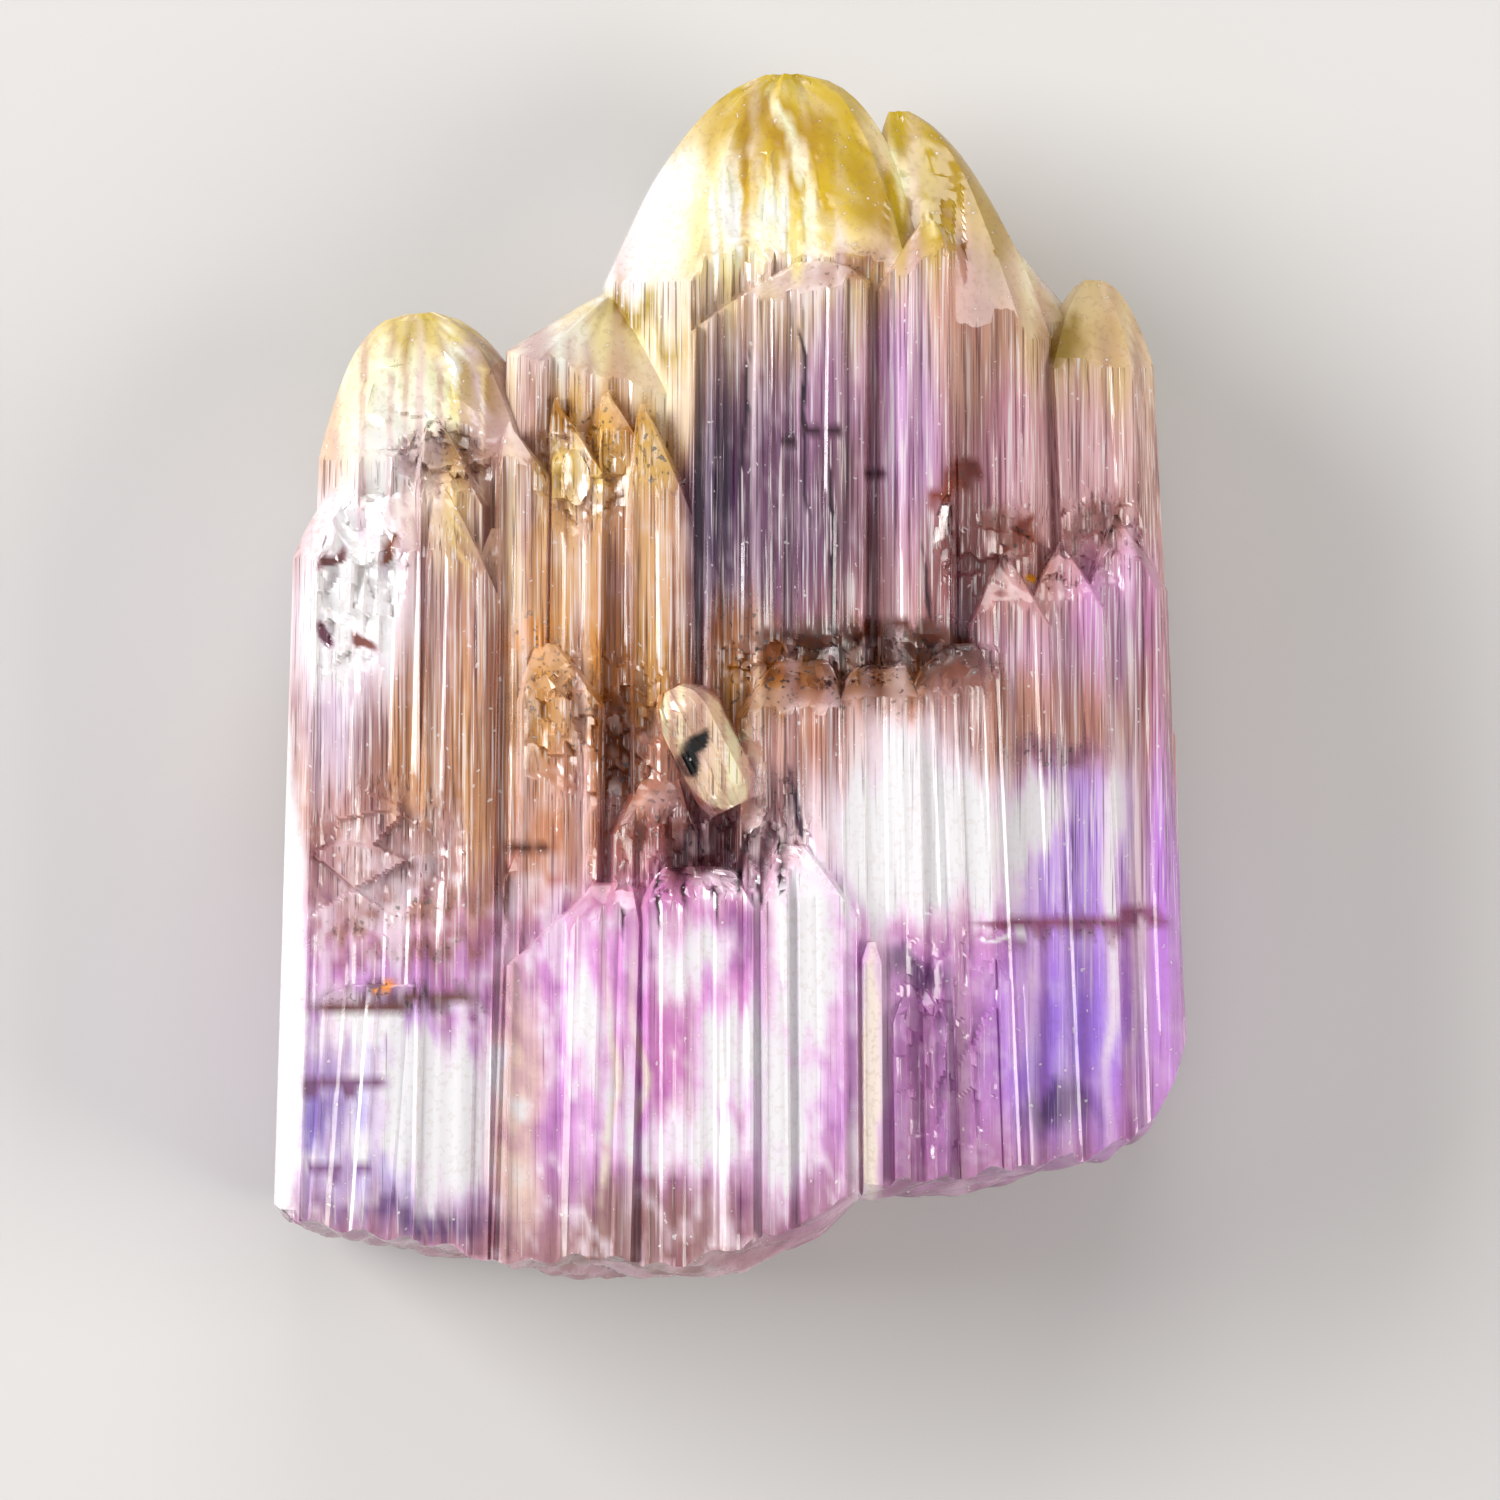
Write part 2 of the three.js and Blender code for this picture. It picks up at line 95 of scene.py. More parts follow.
floor_mesh = bpy.data.meshes.new("floor")
floor_corners = [(-FLOOR_HALF, -FLOOR_HALF, 0), (FLOOR_HALF, -FLOOR_HALF, 0),
                 (FLOOR_HALF, FLOOR_HALF, 0), (-FLOOR_HALF, FLOOR_HALF, 0)]
floor_mesh.from_pydata(floor_corners, [], [(0, 1, 2, 3)])
floor = bpy.data.objects.new("floor", floor_mesh)
bpy.context.scene.collection.objects.link(floor)
floor_paint = bpy.data.materials.new("pale_floor")
floor_paint.use_nodes = True
floor_shader = floor_paint.node_tree.nodes["Principled BSDF"]
floor_shader.inputs["Base Color"].default_value = FLOOR_COLOUR
floor_shader.inputs["Roughness"].default_value = 0.8
floor_mesh.materials.append(floor_paint)

world = bpy.data.worlds.new("studio")
world.use_nodes = True
background = world.node_tree.nodes["Background"]
background.inputs["Color"].default_value = SKY_COLOUR
background.inputs["Strength"].default_value = SKY_STRENGTH
bpy.context.scene.world = world
bpy.context.scene.view_settings.view_transform = "Standard"
print("floor width in metres:", 2 * FLOOR_HALF)

# %% Soft lights
# Name, direction, distance and size in metres, watts, colour
LIGHTS = [
    ("left_light", (-1.0, 0.35, 0.55), 0.45, 0.3, 3.6, (1.0, 1.0, 1.0)),
    ("right_light", (1.0, -0.2, 0.7), 0.5, 0.3, 2.1, (1.0, 0.96, 0.9)),
    ("tip_light", (0.1, 1.0, 0.75), 0.5, 0.25, 0.75, (1.0, 1.0, 1.0)),
]


def soft_light(name, direction, distance, size, watts, colour):
    """A square soft light that looks at the crystal from a direction."""
    data = bpy.data.lights.new(name, "AREA")
    data.size = size
    data.energy = watts
    data.color = colour
    light = bpy.data.objects.new(name, data)
    towards = Vector(direction).normalized()
    light.location = towards * distance
    light.rotation_euler = towards.to_track_quat("Z", "Y").to_euler()
    bpy.context.scene.collection.objects.link(light)
    return light


lights = [soft_light(*row) for row in LIGHTS]
print("lights:", [light.name for light in lights])

# %% [markdown]
# ## The prisms
#
# Each prism of the bundle has its own row: where its axis runs, where its tip is, how wide and
# deep it is, how its rounded end curves, and how strongly its faces are stepped. The rows are in
# millimetres and stand in groups, and the solid model uses the same values.
#
# - `foot`, `axis`: x of the middle line at FOOT_LEVEL and at the shoulder of the rounded end
# - `tip`: x and y of the highest point, and `dome`: how far the rounded end reaches down from it
# - `slant`: how much higher the dome begins on its left than in its middle
# - `half`: half the width, and `back`, `front`: the heights of the two broad faces
# - `round`: the curve of the dome's left and right, from 0.35, full, to 1, straight
# - `edge`: the share of the width that the tip keeps, and `lean`: its place from back to front
# - `bevel`: the widths of the narrow faces beside the front face
# - `steps`, `relief`: how many striation steps cross the front face, and how deep they are

# %% The prisms of the skyline, the back and the sides
PRISM_COLUMNS = [
    "name", "foot", "axis", "tip", "dome", "slant", "half", "back", "front",
    "round", "edge", "lean", "bevel", "steps", "relief"]
OUTER_ROWS = [
    # The prisms whose rounded ends make the skyline
    ("tallest", 0.5, 0.83, (1.1, 12.1), 4.3, 0, 3.4, 0, 6.6,
     (0.5, 0.4), 0.06, 0.5, (1.8, 0.7), 15, 0.42),
    ("second", 4.9, 4.5, (3.2, 11.35), 4.7, 0, 1.9, 0.5, 6.2,
     (0.5, 0.5), 0.05, 0.55, (0.4, 0.6), 9, 0.25),
    ("pale_shoulder", 6.4, 5.8, (5.45, 8.9), 1.9, 0, 1.2, 1.4, 4.6,
     (0.8, 0.9), 0, 0.4, (0.3, 0.3), 3, 0.1),
    ("right_edge", 8.1, 7.25, (7.25, 8.0), 1.9, 0, 1.18, 0.8, 5.5,
     (0.5, 0.5), 0.1, 0.6, (0.3, 0.5), 7, 0.18),
    ("left_middle", -2.9, -2.55, (-2.25, 7.85), 2.0, 0.65, 1.95, 0.5, 6.1,
     (0.9, 0.6), 0, 0.6, (0.7, 0.3), 8, 0.2),
    ("left_tall", -6.4, -5.85, (-6.2, 7.35), 3.1, 0, 2.38, 0.3, 5.9,
     (0.36, 0.44), 0.08, 0.55, (0.9, 0.6), 8, 0.2),
    # The prisms of the back
    ("back_left", -4.9, -4.6, (-4.4, 2.6), 1.8, 0, 1.3, 0, 3,
     (0.7, 0.9), 0.2, 0.15, (0.3, 0.3), 5, 0),
    ("back_right", 5.2, 4.8, (4.4, -0.6), 1.6, 0, 1.25, 0, 3,
     (0.7, 0.9), 0.1, 0.12, (0.3, 0.3), 5, 0),
    ("back_rib", -7.5, -7.1, (-7.3, -1.2), 1.2, 0, 0.7, 0.12, 3,
     (0.7, 0.9), 0.1, 0.1, (0.2, 0.2), 3, 0.06),
    ("back_edge", 7.5, 7.0, (6.8, 3.4), 1.4, 0, 0.8, 0.35, 3,
     (0.8, 0.8), 0.1, 0.12, (0.2, 0.2), 4, 0.08),
    # The narrow prisms that show on the left and right sides
    ("left_side", -8.1, -7.75, (-7.9, 1.0), 2.2, 0, 0.98, 1.3, 4.6,
     (0.6, 0.6), 0.1, 0.5, (0.25, 0.25), 3, 0.1),
    ("right_side", 8.2, 7.9, (7.9, 0.4), 1.6, 0, 0.98, 1.6, 4.4,
     (0.6, 0.5), 0.1, 0.6, (0.25, 0.3), 3, 0.1),
]
print("prisms of the outside:", len(OUTER_ROWS))

# %% The prisms of the left front
LEFT_ROWS = [
    # The broad ones
    ("left_front", -7.1, -6.7, (-6.75, 4.2), 1.9, 0, 2.0, 0.6, 6.55,
     (0.4, 0.55), 0.1, 0.8, (0.6, 0.3), 8, 0.16),
    ("left_front_slope", -5.5, -5.2, (-5.75, 3.9), 2.4, 0.3, 0.95, 2, 6.85,
     (0.5, 0.75), 0, 0.9, (0.2, 0.2), 4, 0.14),
    ("left_joint", -4.75, -4.45, (-4.6, 3.0), 1.7, 0, 0.85, 2, 6.7,
     (0.7, 0.7), 0.1, 0.92, (0.12, 0.12), 5, 0.12),
    ("left_lower", -6.85, -6.5, (-5.6, -5.95), 0.3, 0, 1.95, 2, 6.64,
     (0.8, 0.8), 0.8, 0.97, (0.5, 0.2), 9, 0.1),
    ("stripe", -4.35, -4.1, (-4.05, -3.3), 0.7, 0, 0.42, 3, 7.15,
     (0.7, 0.7), 0.2, 0.9, (0.1, 0.1), 2, 0.08),
    # The small pointed prisms that step down from left to right
    ("lump", -5.6, -5.5, (-5.9, 5.15), 1.8, 0, 0.8, 3, 6.6,
     (0.5, 0.8), 0.1, 0.75, (0.2, 0.2), 2, 0.15),
    ("point_1", -4.3, -4.05, (-4.35, 5.1), 1.2, 0, 0.6, 2.5, 6.85,
     (0.5, 0.9), 0, 0.88, (0.12, 0.15), 3, 0.14),
    ("point_2", -3.2, -3.0, (-3.45, 5.6), 1.6, 0, 0.64, 2.5, 6.6,
     (0.5, 0.95), 0, 0.9, (0.12, 0.15), 3, 0.14),
    ("point_3", -2.3, -2.1, (-2.45, 5.7), 1.3, 0, 0.6, 2.5, 6.5,
     (0.5, 0.85), 0, 0.88, (0.12, 0.15), 3, 0.12),
    ("point_4", -1.2, -1.3, (-1.75, 5.45), 2.4, 0, 0.76, 2.5, 6.95,
     (0.5, 0.8), 0, 0.9, (0.12, 0.2), 4, 0.16),
    ("brown_step", -3.5, -3.35, (-3.7, 0.75), 1.3, 0, 0.95, 3, 7.2,
     (0.6, 0.75), 0.2, 0.86, (0.2, 0.2), 5, 0.16),
    ("tawny_step", -1.5, -1.5, (-1.3, -1.6), 1.5, 0, 0.95, 3, 7.25,
     (0.7, 0.6), 0.15, 0.86, (0.2, 0.2), 5, 0.16),
]
print("prisms of the left front:", len(LEFT_ROWS))

# %% The prisms of the middle and the right
INNER_ROWS = [
    # The dark recessed prisms under the tallest dome
    ("dark_1", 0.75, 0.95, (1.9, 8.25), 0.95, -0.5, 1.9, 2, 6.95,
     (0.75, 0.45), 0.15, 0.88, (0.25, 0.2), 12, 0.3),
    ("dark_2", 3.7, 3.62, (3.95, 9.05), 1.1, -0.4, 0.85, 2, 6.8,
     (0.8, 0.5), 0.1, 0.85, (0.15, 0.2), 4, 0.16),
    # The lower front, whose blunt tips make the brown ledge and the ragged purple step
    ("ledge_right", 4.6, 4.2, (4.7, 0.75), 1.2, 0, 1.05, 3, 7.4,
     (0.8, 0.7), 0.3, 0.8, (0.2, 0.3), 5, 0.18),
    ("ledge_middle", 3.1, 2.95, (3.1, 0.3), 0.8, 0, 0.95, 3, 7.55,
     (0.6, 0.7), 0.5, 0.82, (0.15, 0.2), 5, 0.18),
    ("ledge_left", 1.3, 1.25, (1.55, 0.6), 1.4, 0, 1.2, 3, 7.6,
     (0.8, 0.7), 0.35, 0.8, (0.2, 0.2), 6, 0.18),
    ("ragged_left", -3.2, -3.05, (-2.0, -3.95), 1.3, -0.4, 1.45, 3, 7.55,
     (0.9, 0.8), 0.25, 0.92, (0.2, 0.2), 8, 0.14),
    ("ragged_middle", -0.6, -0.6, (-0.7, -3.65), 0.9, 0, 1.25, 3, 7.8,
     (0.6, 0.6), 0.5, 0.92, (0.2, 0.2), 8, 0.14),
    ("ragged_right", 1.6, 1.55, (1.1, -3.2), 1.5, 0, 1.1, 3, 7.95,
     (0.7, 0.8), 0.2, 0.92, (0.2, 0.2), 6, 0.2),
    ("bright_rib", 2.8, 2.77, (2.75, -5.1), 0.5, 0, 0.25, 4, 8.05,
     (0.8, 0.8), 0.3, 0.9, (0.06, 0.06), 1, 0),
    ("etched_1", 3.75, 3.7, (3.6, -6.0), 0.8, 0, 0.64, 4, 7.7,
     (0.7, 0.8), 0.3, 0.9, (0.12, 0.12), 4, 0.2),
    ("etched_2", 5.05, 4.9, (4.8, -4.9), 1.1, 0, 0.66, 3, 7.35,
     (0.7, 0.7), 0.1, 0.9, (0.12, 0.15), 4, 0.2),
    # The zigzag of small tips on the right
    ("zigzag_1", 6.05, 5.5, (5.4, 2.5), 1.5, 0, 0.92, 3, 6.6,
     (0.8, 0.9), 0, 0.9, (0.15, 0.15), 3, 0.12),
    ("zigzag_2", 7.15, 6.6, (6.5, 2.75), 1.4, 0, 0.88, 3, 6.3,
     (0.9, 0.9), 0, 0.9, (0.15, 0.15), 3, 0.12),
    ("zigzag_3", 8.25, 7.8, (7.6, 3.3), 1.6, 0, 0.88, 3, 5.9,
     (0.9, 0.8), 0, 0.9, (0.15, 0.3), 4, 0.14),
]
PRISMS = [dict(zip(PRISM_COLUMNS, row)) for row in OUTER_ROWS + LEFT_ROWS + INNER_ROWS]
print("prisms:", len(PRISMS), "with tips from y", min(prism["tip"][1] for prism in PRISMS),
      "to", max(prism["tip"][1] for prism in PRISMS))

# %% [markdown]
# ## One prism
#
# A prism's cross-section is a loop: a broad back, two sides, narrow bevels and a broad front. On
# the real crystal the broad faces are striated along the length, because growth switched again
# and again between two neighbouring faces. A bump map would draw the lines but leave the edges of
# the steps straight, so the steps are real here: each point of the loop is pushed inwards by the
# depth of its step, and by thin lines that come and go along the crystal.

# %% Helpers for repeatable irregularity
def mix(start, end, share):
    """From start to end by a share from 0 to 1."""
    return start + (end - start) * share


def ramp(value, low, high):
    """0 below low, 1 above high, and a smooth rise between them."""
    t = np.clip((value - low) / (high - low), 0, 1)
    return t * t * (3 - 2 * t)


def scatter(i, j, seed=0):
    """A repeatable number from 0 to 1 for each pair of numbers."""
    wave = np.sin(i * 12.9898 + j * 78.233 + seed * 37.719) * 43758.5453
    return wave - np.floor(wave)


def grain(x, y, seed):
    """Smooth noise from 0 to 1, with about one lump per unit of x and y."""
    i, j = np.floor(x), np.floor(y)
    share_x, share_y = ramp(x - i, 0, 1), ramp(y - j, 0, 1)
    low = mix(scatter(i, j, seed), scatter(i + 1, j, seed), share_x)
    high = mix(scatter(i, j + 1, seed), scatter(i + 1, j + 1, seed), share_x)
    return mix(low, high, share_y)


def thin_lines(across, along, seed):
    """Striation lines as depths from 0 to 1: fine across the crystal, long along it."""
    broad = grain(across / 0.26, along / 14.0, seed)
    narrow = grain(across / 0.1, along / 8.0, seed + 5)
    return 1 - np.abs(broad + narrow - 1)


print("three repeatable numbers:", [round(float(scatter(1, j)), 3) for j in range(3)])

# %% Steps and corners of a cross-section
NARROWEST_STEP = 0.35
WAIST = 0.45


def step_depths(x, left, right, steps, relief, seed):
    """The depth of the striation step at each x of a broad face."""
    widths = np.array([NARROWEST_STEP + scatter(seed, i) for i in range(steps)])
    edges = left + (right - left) * np.cumsum(widths) / widths.sum()
    depths = np.array([relief * scatter(seed + 0.5, i + 3) for i in range(steps)])
    return depths[np.clip(np.searchsorted(edges, x), 0, steps - 1)]


def corners_of(prism):
    """The ten corners of a prism's cross-section, from the back left round to the left side."""
    half, back, front = prism["half"], prism["back"], prism["front"]
    left, right = prism["bevel"]
    back_bevel = min(0.25 * half, 0.6)
    waist = mix(back, front, WAIST)

    def bevel_depth(width):
        return min(1.1 * width + 0.5, 0.4 * (front - back))

    left_deep, right_deep = bevel_depth(left), bevel_depth(right)
    back_deep = back + 0.7 * bevel_depth(back_bevel)
    return [
        (-half + back_bevel, back), (half - back_bevel, back), (half * 0.97, back_deep),
        (half, waist), (half * 0.98, front - right_deep), (half - right, front),
        (-half + left, front), (-half * 0.98, front - left_deep), (-half, waist),
        (-half * 0.97, back_deep)]


print("corners of a cross-section:", len(corners_of(PRISMS[0])))

# %% The loop round a prism
LINE_SPACING = 0.065
SIDE_SPACING = 0.16
LINE_DEPTH = 0.06
BACK_FACE, FRONT_FACE = 0, 5


def loop_round(prism, seed):
    """Points, inward directions, step depths and line depths round a prism's cross-section."""
    back, steps, relief = prism["back"], prism["steps"], prism["relief"]
    corners = corners_of(prism)
    points, inward, stepped, lined = [], [], [], []
    for place, start in enumerate(corners):
        end = corners[(place + 1) % len(corners)]
        length = math.dist(start, end)
        broad_back, broad_front = place == BACK_FACE, place == FRONT_FACE
        spacing = LINE_SPACING if broad_front else SIDE_SPACING
        count = max(2, round(length / spacing))
        share = np.arange(count)[:, None] / count
        spots = mix(np.array(start), np.array(end), share)
        across = np.array([-(end[1] - start[1]), end[0] - start[0]]) / length
        depth = np.zeros(count)
        line = np.full(count, 0.45)
        if broad_back:
            # A back that the crystal rests on stays flat.
            back_relief = 0 if back == 0 else relief * 0.7
            back_steps = math.ceil(steps / 2)
            depth = step_depths(spots[:, 0], start[0], end[0], back_steps, back_relief, seed + 31)
            line[:] = 0.4 if back == 0 else 0.8
        if broad_front:
            depth = step_depths(spots[:, 0], end[0], start[0], steps, relief, seed + 7)
            line[:] = 1.0
        points.append(spots)
        inward.append(np.tile(across, (count, 1)))
        stepped.append(depth)
        lined.append(line * LINE_DEPTH)
    return [np.concatenate(part) for part in (points, inward, stepped, lined)]


print("points round the tallest prism:", len(loop_round(PRISMS[0], 1)[0]))

# %% [markdown]
# ## Shaft and envelope
#
# On the real crystal the striations stay parallel to the very end, where the sloping faces of the
# tip cut them off. A loft that shrinks the striated loop towards the tip would bend the lines
# together instead. So each prism is made of two solids: a straight striated shaft that runs past
# the tip, and a smooth envelope that closes in flat facets. Their intersection is the prism.

# %% A solid from rings
def solid_mesh(name, rings):
    """A closed mesh object from rings of equal length, capped at both ends, in millimetres."""
    rows, count = rings.shape[:2]
    points = rings.reshape(-1, 3)
    caps = np.array([rings[0].mean(axis=0), rings[-1].mean(axis=0)])
    here = np.arange(count)
    there = (here + 1) % count
    sides = []
    for row in range(0, (rows - 1) * count, count):
        above = row + count
        sides.append(np.column_stack([row + here, above + here, above + there, row + there]))
    foot, crown, last = len(points), len(points) + 1, (rows - 1) * count
    foot_fan = np.column_stack([np.full(count, foot), here, there])
    crown_fan = np.column_stack([np.full(count, crown), last + there, last + here])
    faces = np.concatenate(sides).tolist() + foot_fan.tolist() + crown_fan.tolist()
    mesh = bpy.data.meshes.new(name)
    mesh.from_pydata(np.vstack([points, caps]).tolist(), [], faces)
    thing = bpy.data.objects.new(name, mesh)
    bpy.context.scene.collection.objects.link(thing)
    return thing


# %% The striated shaft
FOOT_LEVEL = -11
FOOT_Y = -14
RING_SPACING = 0.21


def axis_slope(prism):
    """How far the middle line moves sideways for each millimetre along the prism."""
    return (prism["axis"] - prism["foot"]) / (prism["tip"][1] - prism["dome"] - FOOT_LEVEL)


def shaft_solid(prism, seed):
    """The straight striated shaft of a prism, which runs a little past its tip."""
    loop, inward, stepped, lined = loop_round(prism, seed)
    along_loop = np.cumsum(np.linalg.norm(np.diff(loop, axis=0, prepend=loop[-1:]), axis=1))
    rings = []
    for y in np.arange(FOOT_Y, prism["tip"][1] + 1, RING_SPACING):
        depth = stepped + lined * thin_lines(along_loop, y, seed)
        spots = loop + inward * depth[:, None]
        centre = prism["foot"] + axis_slope(prism) * (y - FOOT_LEVEL)
        rings.append(np.column_stack([centre + spots[:, 0], np.full(len(loop), y), spots[:, 1]]))
    return solid_mesh(prism["name"], np.array(rings))


print("lean of the tallest prism:", round(axis_slope(PRISMS[0]), 3))

# %% The smooth envelope
SKIN = 0.02
FACET_SPACING = 0.25
FACET_CURVE = 0.75
DOME_RING_SPACING = 0.25
APEX_SCALE = 0.08
WAVE_DEPTH = 0.05


def smooth_loop(prism):
    """The cross-section's plain outline, a skin's width outside the shaft."""
    spots = []
    corners = [(x * (1 + SKIN / prism["half"]), z) for x, z in corners_of(prism)]
    for place, start in enumerate(corners):
        end = corners[(place + 1) % len(corners)]
        count = max(1, round(math.dist(start, end) / FACET_SPACING))
        spots.extend(mix(np.array(start), np.array(end), i / count) for i in range(count))
    spots = np.array(spots)
    spots[:, 1] = np.where(spots[:, 1] >= prism["front"], prism["front"] + SKIN, spots[:, 1])
    spots[:, 1] = np.where(spots[:, 1] <= prism["back"], prism["back"] - SKIN, spots[:, 1])
    return spots


def envelope_solid(prism, seed):
    """The smooth outside of a prism, drawn in to its tip by nearly flat facets."""
    loop = smooth_loop(prism)
    tip_x, tip_y = prism["tip"]
    dome = prism["dome"]
    tip_z = mix(prism["back"], prism["front"], prism["lean"])
    lower = prism["slant"] * loop[:, 0] / prism["half"]
    foot_x = prism["foot"] + axis_slope(prism) * (FOOT_Y - FOOT_LEVEL) + loop[:, 0]
    rings = [np.column_stack([foot_x, np.full(len(loop), FOOT_Y - 1.0), loop[:, 1]])]
    for down in np.linspace(1, 0, max(4, round(dome / DOME_RING_SPACING)) + 1) ** 1.25:
        x = prism["axis"] + loop[:, 0]
        curve = np.where(x < tip_x, prism["round"][0], prism["round"][1])
        width = mix(prism["edge"], 1, np.maximum(down ** curve, APEX_SCALE))
        height = max(down ** FACET_CURVE, APEX_SCALE)
        y = tip_y - (dome + lower) * down
        wave = WAVE_DEPTH * grain(loop[:, 0] / 0.7 + 9, y / 0.9, seed) * (1 - down)
        rings.append(np.column_stack([
            mix(tip_x, x, width - wave), y - wave, mix(tip_z, loop[:, 1], height - wave)]))
    return solid_mesh(prism["name"] + "_envelope", np.array(rings))


print("points round the tallest envelope:", len(smooth_loop(PRISMS[0])))

# %% [markdown]
# ## Growing together
#
# The real prisms are one crystal inside. The Boolean modifier joins them so that no wall is left
# within the clear stone, where it would bend the light a second time.

# %% Joining and cutting
def combined(base, others, operation):
    """The base mesh joined with, cut by or kept inside the others, as one new mesh on base."""
    helpers = bpy.data.collections.new("helpers")
    for other in others:
        helpers.objects.link(other)
    modifier = base.modifiers.new(operation.lower(), "BOOLEAN")
    modifier.operation = operation
    modifier.solver = "MANIFOLD"
    modifier.operand_type = "COLLECTION"
    modifier.collection = helpers
    evaluated = base.evaluated_get(bpy.context.evaluated_depsgraph_get())
    result = bpy.data.meshes.new_from_object(evaluated)
    base.modifiers.clear()
    base.data = result
    for other in others:
        bpy.data.objects.remove(other)
    bpy.data.collections.remove(helpers)
    return base


prism_solids = [combined(shaft_solid(prism, seed), [envelope_solid(prism, seed)], "INTERSECT")
                for seed, prism in enumerate(PRISMS, 1)]
print("prisms:", len(prism_solids), "points:", sum(len(p.data.vertices) for p in prism_solids))
crystal = combined(prism_solids[0], prism_solids[1:], "UNION")
crystal.name = "tanzanite_bundle"
print("joined faces:", len(crystal.data.polygons))

# %% [markdown]
# ## The broken base
#
# The bundle snapped off its matrix, so its base is a low, rippled fracture that stands out most
# at mid height. A block whose underside is that surface keeps everything above it.

# %% The fracture
BASE_OUTLINE = [
    (-9.6, -9.9), (-8.8, -11.05), (-6.6, -11.5), (-3.8, -11.95), (-1.6, -12.1), (0.2, -11.95),
    (1.8, -11.2), (2.5, -10.6), (5.6, -10.2), (7.4, -9.65), (8.3, -9.15), (8.9, -8.0), (9.3, -6.2)]
BASE_BULGE = 0.3
BASE_LUMP = 0.14
BASE_MID_HEIGHT = 3.6
BASE_COLUMNS = 170
BASE_ROWS = 80
SHELL_START = (2.0, 9.0)
SHELL_SPACING = 0.85
SHELL_DEPTH = 0.07
BLOCK_FLOOR, BLOCK_CEILING = -1, 9.5
BLOCK_END = 15.1
# How steeply the base turns up past the ends of its outline, in mm for each mm
LEFT_RISE, RIGHT_RISE = 1.44, 4.5


def base_y(x, z):
    """How far down the broken base reaches."""
    outline_x, outline_y = zip(*BASE_OUTLINE)
    y = np.interp(x, outline_x, outline_y)
    y = y + RIGHT_RISE * np.maximum(x - outline_x[-1], 0)
    y = y + LEFT_RISE * np.maximum(outline_x[0] - x, 0)
    through = (z - BASE_MID_HEIGHT) / BASE_MID_HEIGHT
    ripple = np.sin(x * 1.7 + z * 0.9) + np.sin(x * 0.8 - z * 1.6 + 1)
    chips = 0.16 * grain(x / 0.9, z / 0.9, 3) + 0.08 * grain(x / 0.3, z / 0.3, 4)
    from_start = np.hypot(x - SHELL_START[0], z - SHELL_START[1])
    shell = 1 + np.sin(2 * math.pi * from_start / SHELL_SPACING)
    return y + BASE_BULGE * through ** 2 + BASE_LUMP * (1 + ripple / 2) + chips + SHELL_DEPTH * shell


heights = np.linspace(BLOCK_FLOOR, BLOCK_CEILING, BASE_ROWS)
block_rings = []
for x in np.linspace(BASE_OUTLINE[0][0] - 1, BASE_OUTLINE[-1][0] + 1, BASE_COLUMNS):
    ring = np.column_stack([np.full(BASE_ROWS, x), base_y(x, heights), heights])
    far_side = [(x, BLOCK_END, BLOCK_CEILING), (x, BLOCK_END, BLOCK_FLOOR)]
    block_rings.append(np.vstack([ring, far_side]))
block = solid_mesh("above_fracture", np.array(block_rings))
crystal = combined(crystal, [block], "INTERSECT")
print("faces after the fracture:", len(crystal.data.polygons))

# %% [markdown]
# ## Hollows and the askew crystal
#
# Pockets and etched pits are cut with stretched, slightly lumpy balls. A small crystal lies askew
# in the largest pocket: it is a short prism of its own, and it is joined on after the cuts.

# %% Pockets and pits
HOLLOWS = [
    dict(name="askew_pocket", at=(-0.45, -1.4, 8.2), radii=(1.45, 2.2, 1.3), turn=25),
    dict(name="brown_hollow", at=(-2.15, -1.2, 7.9), radii=(0.7, 1.7, 0.85), turn=8),
    dict(name="cream_hollow", at=(-3.05, 4.0, 7.2), radii=(0.45, 1.0, 0.9), turn=5),
    dict(name="etch_pit", at=(3.9, -5.6, 8.1), radii=(0.75, 0.4, 0.75), turn=-15),
    dict(name="etch_slot", at=(4.35, -7.8, 8.0), radii=(0.2, 2.1, 0.65), turn=4),
    dict(name="splintered_left", at=(-8.7, 1.2, 7.4), radii=(1.0, 2.3, 1.1), turn=-8),
    dict(name="dark_notch", at=(1.15, -2.4, 8.3), radii=(0.35, 1.3, 0.9), turn=10),
    dict(name="right_notch", at=(4.75, 3.4, 7.1), radii=(0.75, 1.5, 0.9), turn=-30),
    dict(name="left_chip", at=(-9.2, -10.9, 6.6), radii=(0.9, 0.8, 1.4), turn=20),
]
BALL_RINGS = 24
BALL_SIDES = 36
BALL_LUMPS = 0.16
STEEPEST = 0.97 * math.pi / 2


def turned(points, degrees):
    """Points turned about Z."""
    return points @ np.array(Matrix.Rotation(math.radians(degrees), 3, "Z")).T


def ball_solid(hollow, seed):
    """A stretched ball with a slightly lumpy skin."""
    around = np.linspace(0, 2 * math.pi, BALL_SIDES, endpoint=False)
    east, north = np.sin(around), np.cos(around)
    rings = []
    for tilt in np.linspace(-STEEPEST, STEEPEST, BALL_RINGS):
        lump = 1 - BALL_LUMPS * grain(north * 2.5 + 7, east * 2.5 + tilt * 3 + 9, seed)
        width = np.cos(tilt) * lump
        ring = np.column_stack([width * east, np.full(BALL_SIDES, math.sin(tilt)), width * north])
        rings.append(turned(ring * hollow["radii"], hollow["turn"]) + hollow["at"])
    return solid_mesh(hollow["name"], np.array(rings))


crystal = combined(crystal, [ball_solid(h, i) for i, h in enumerate(HOLLOWS)], "DIFFERENCE")
print("faces after the hollows:", len(crystal.data.polygons))

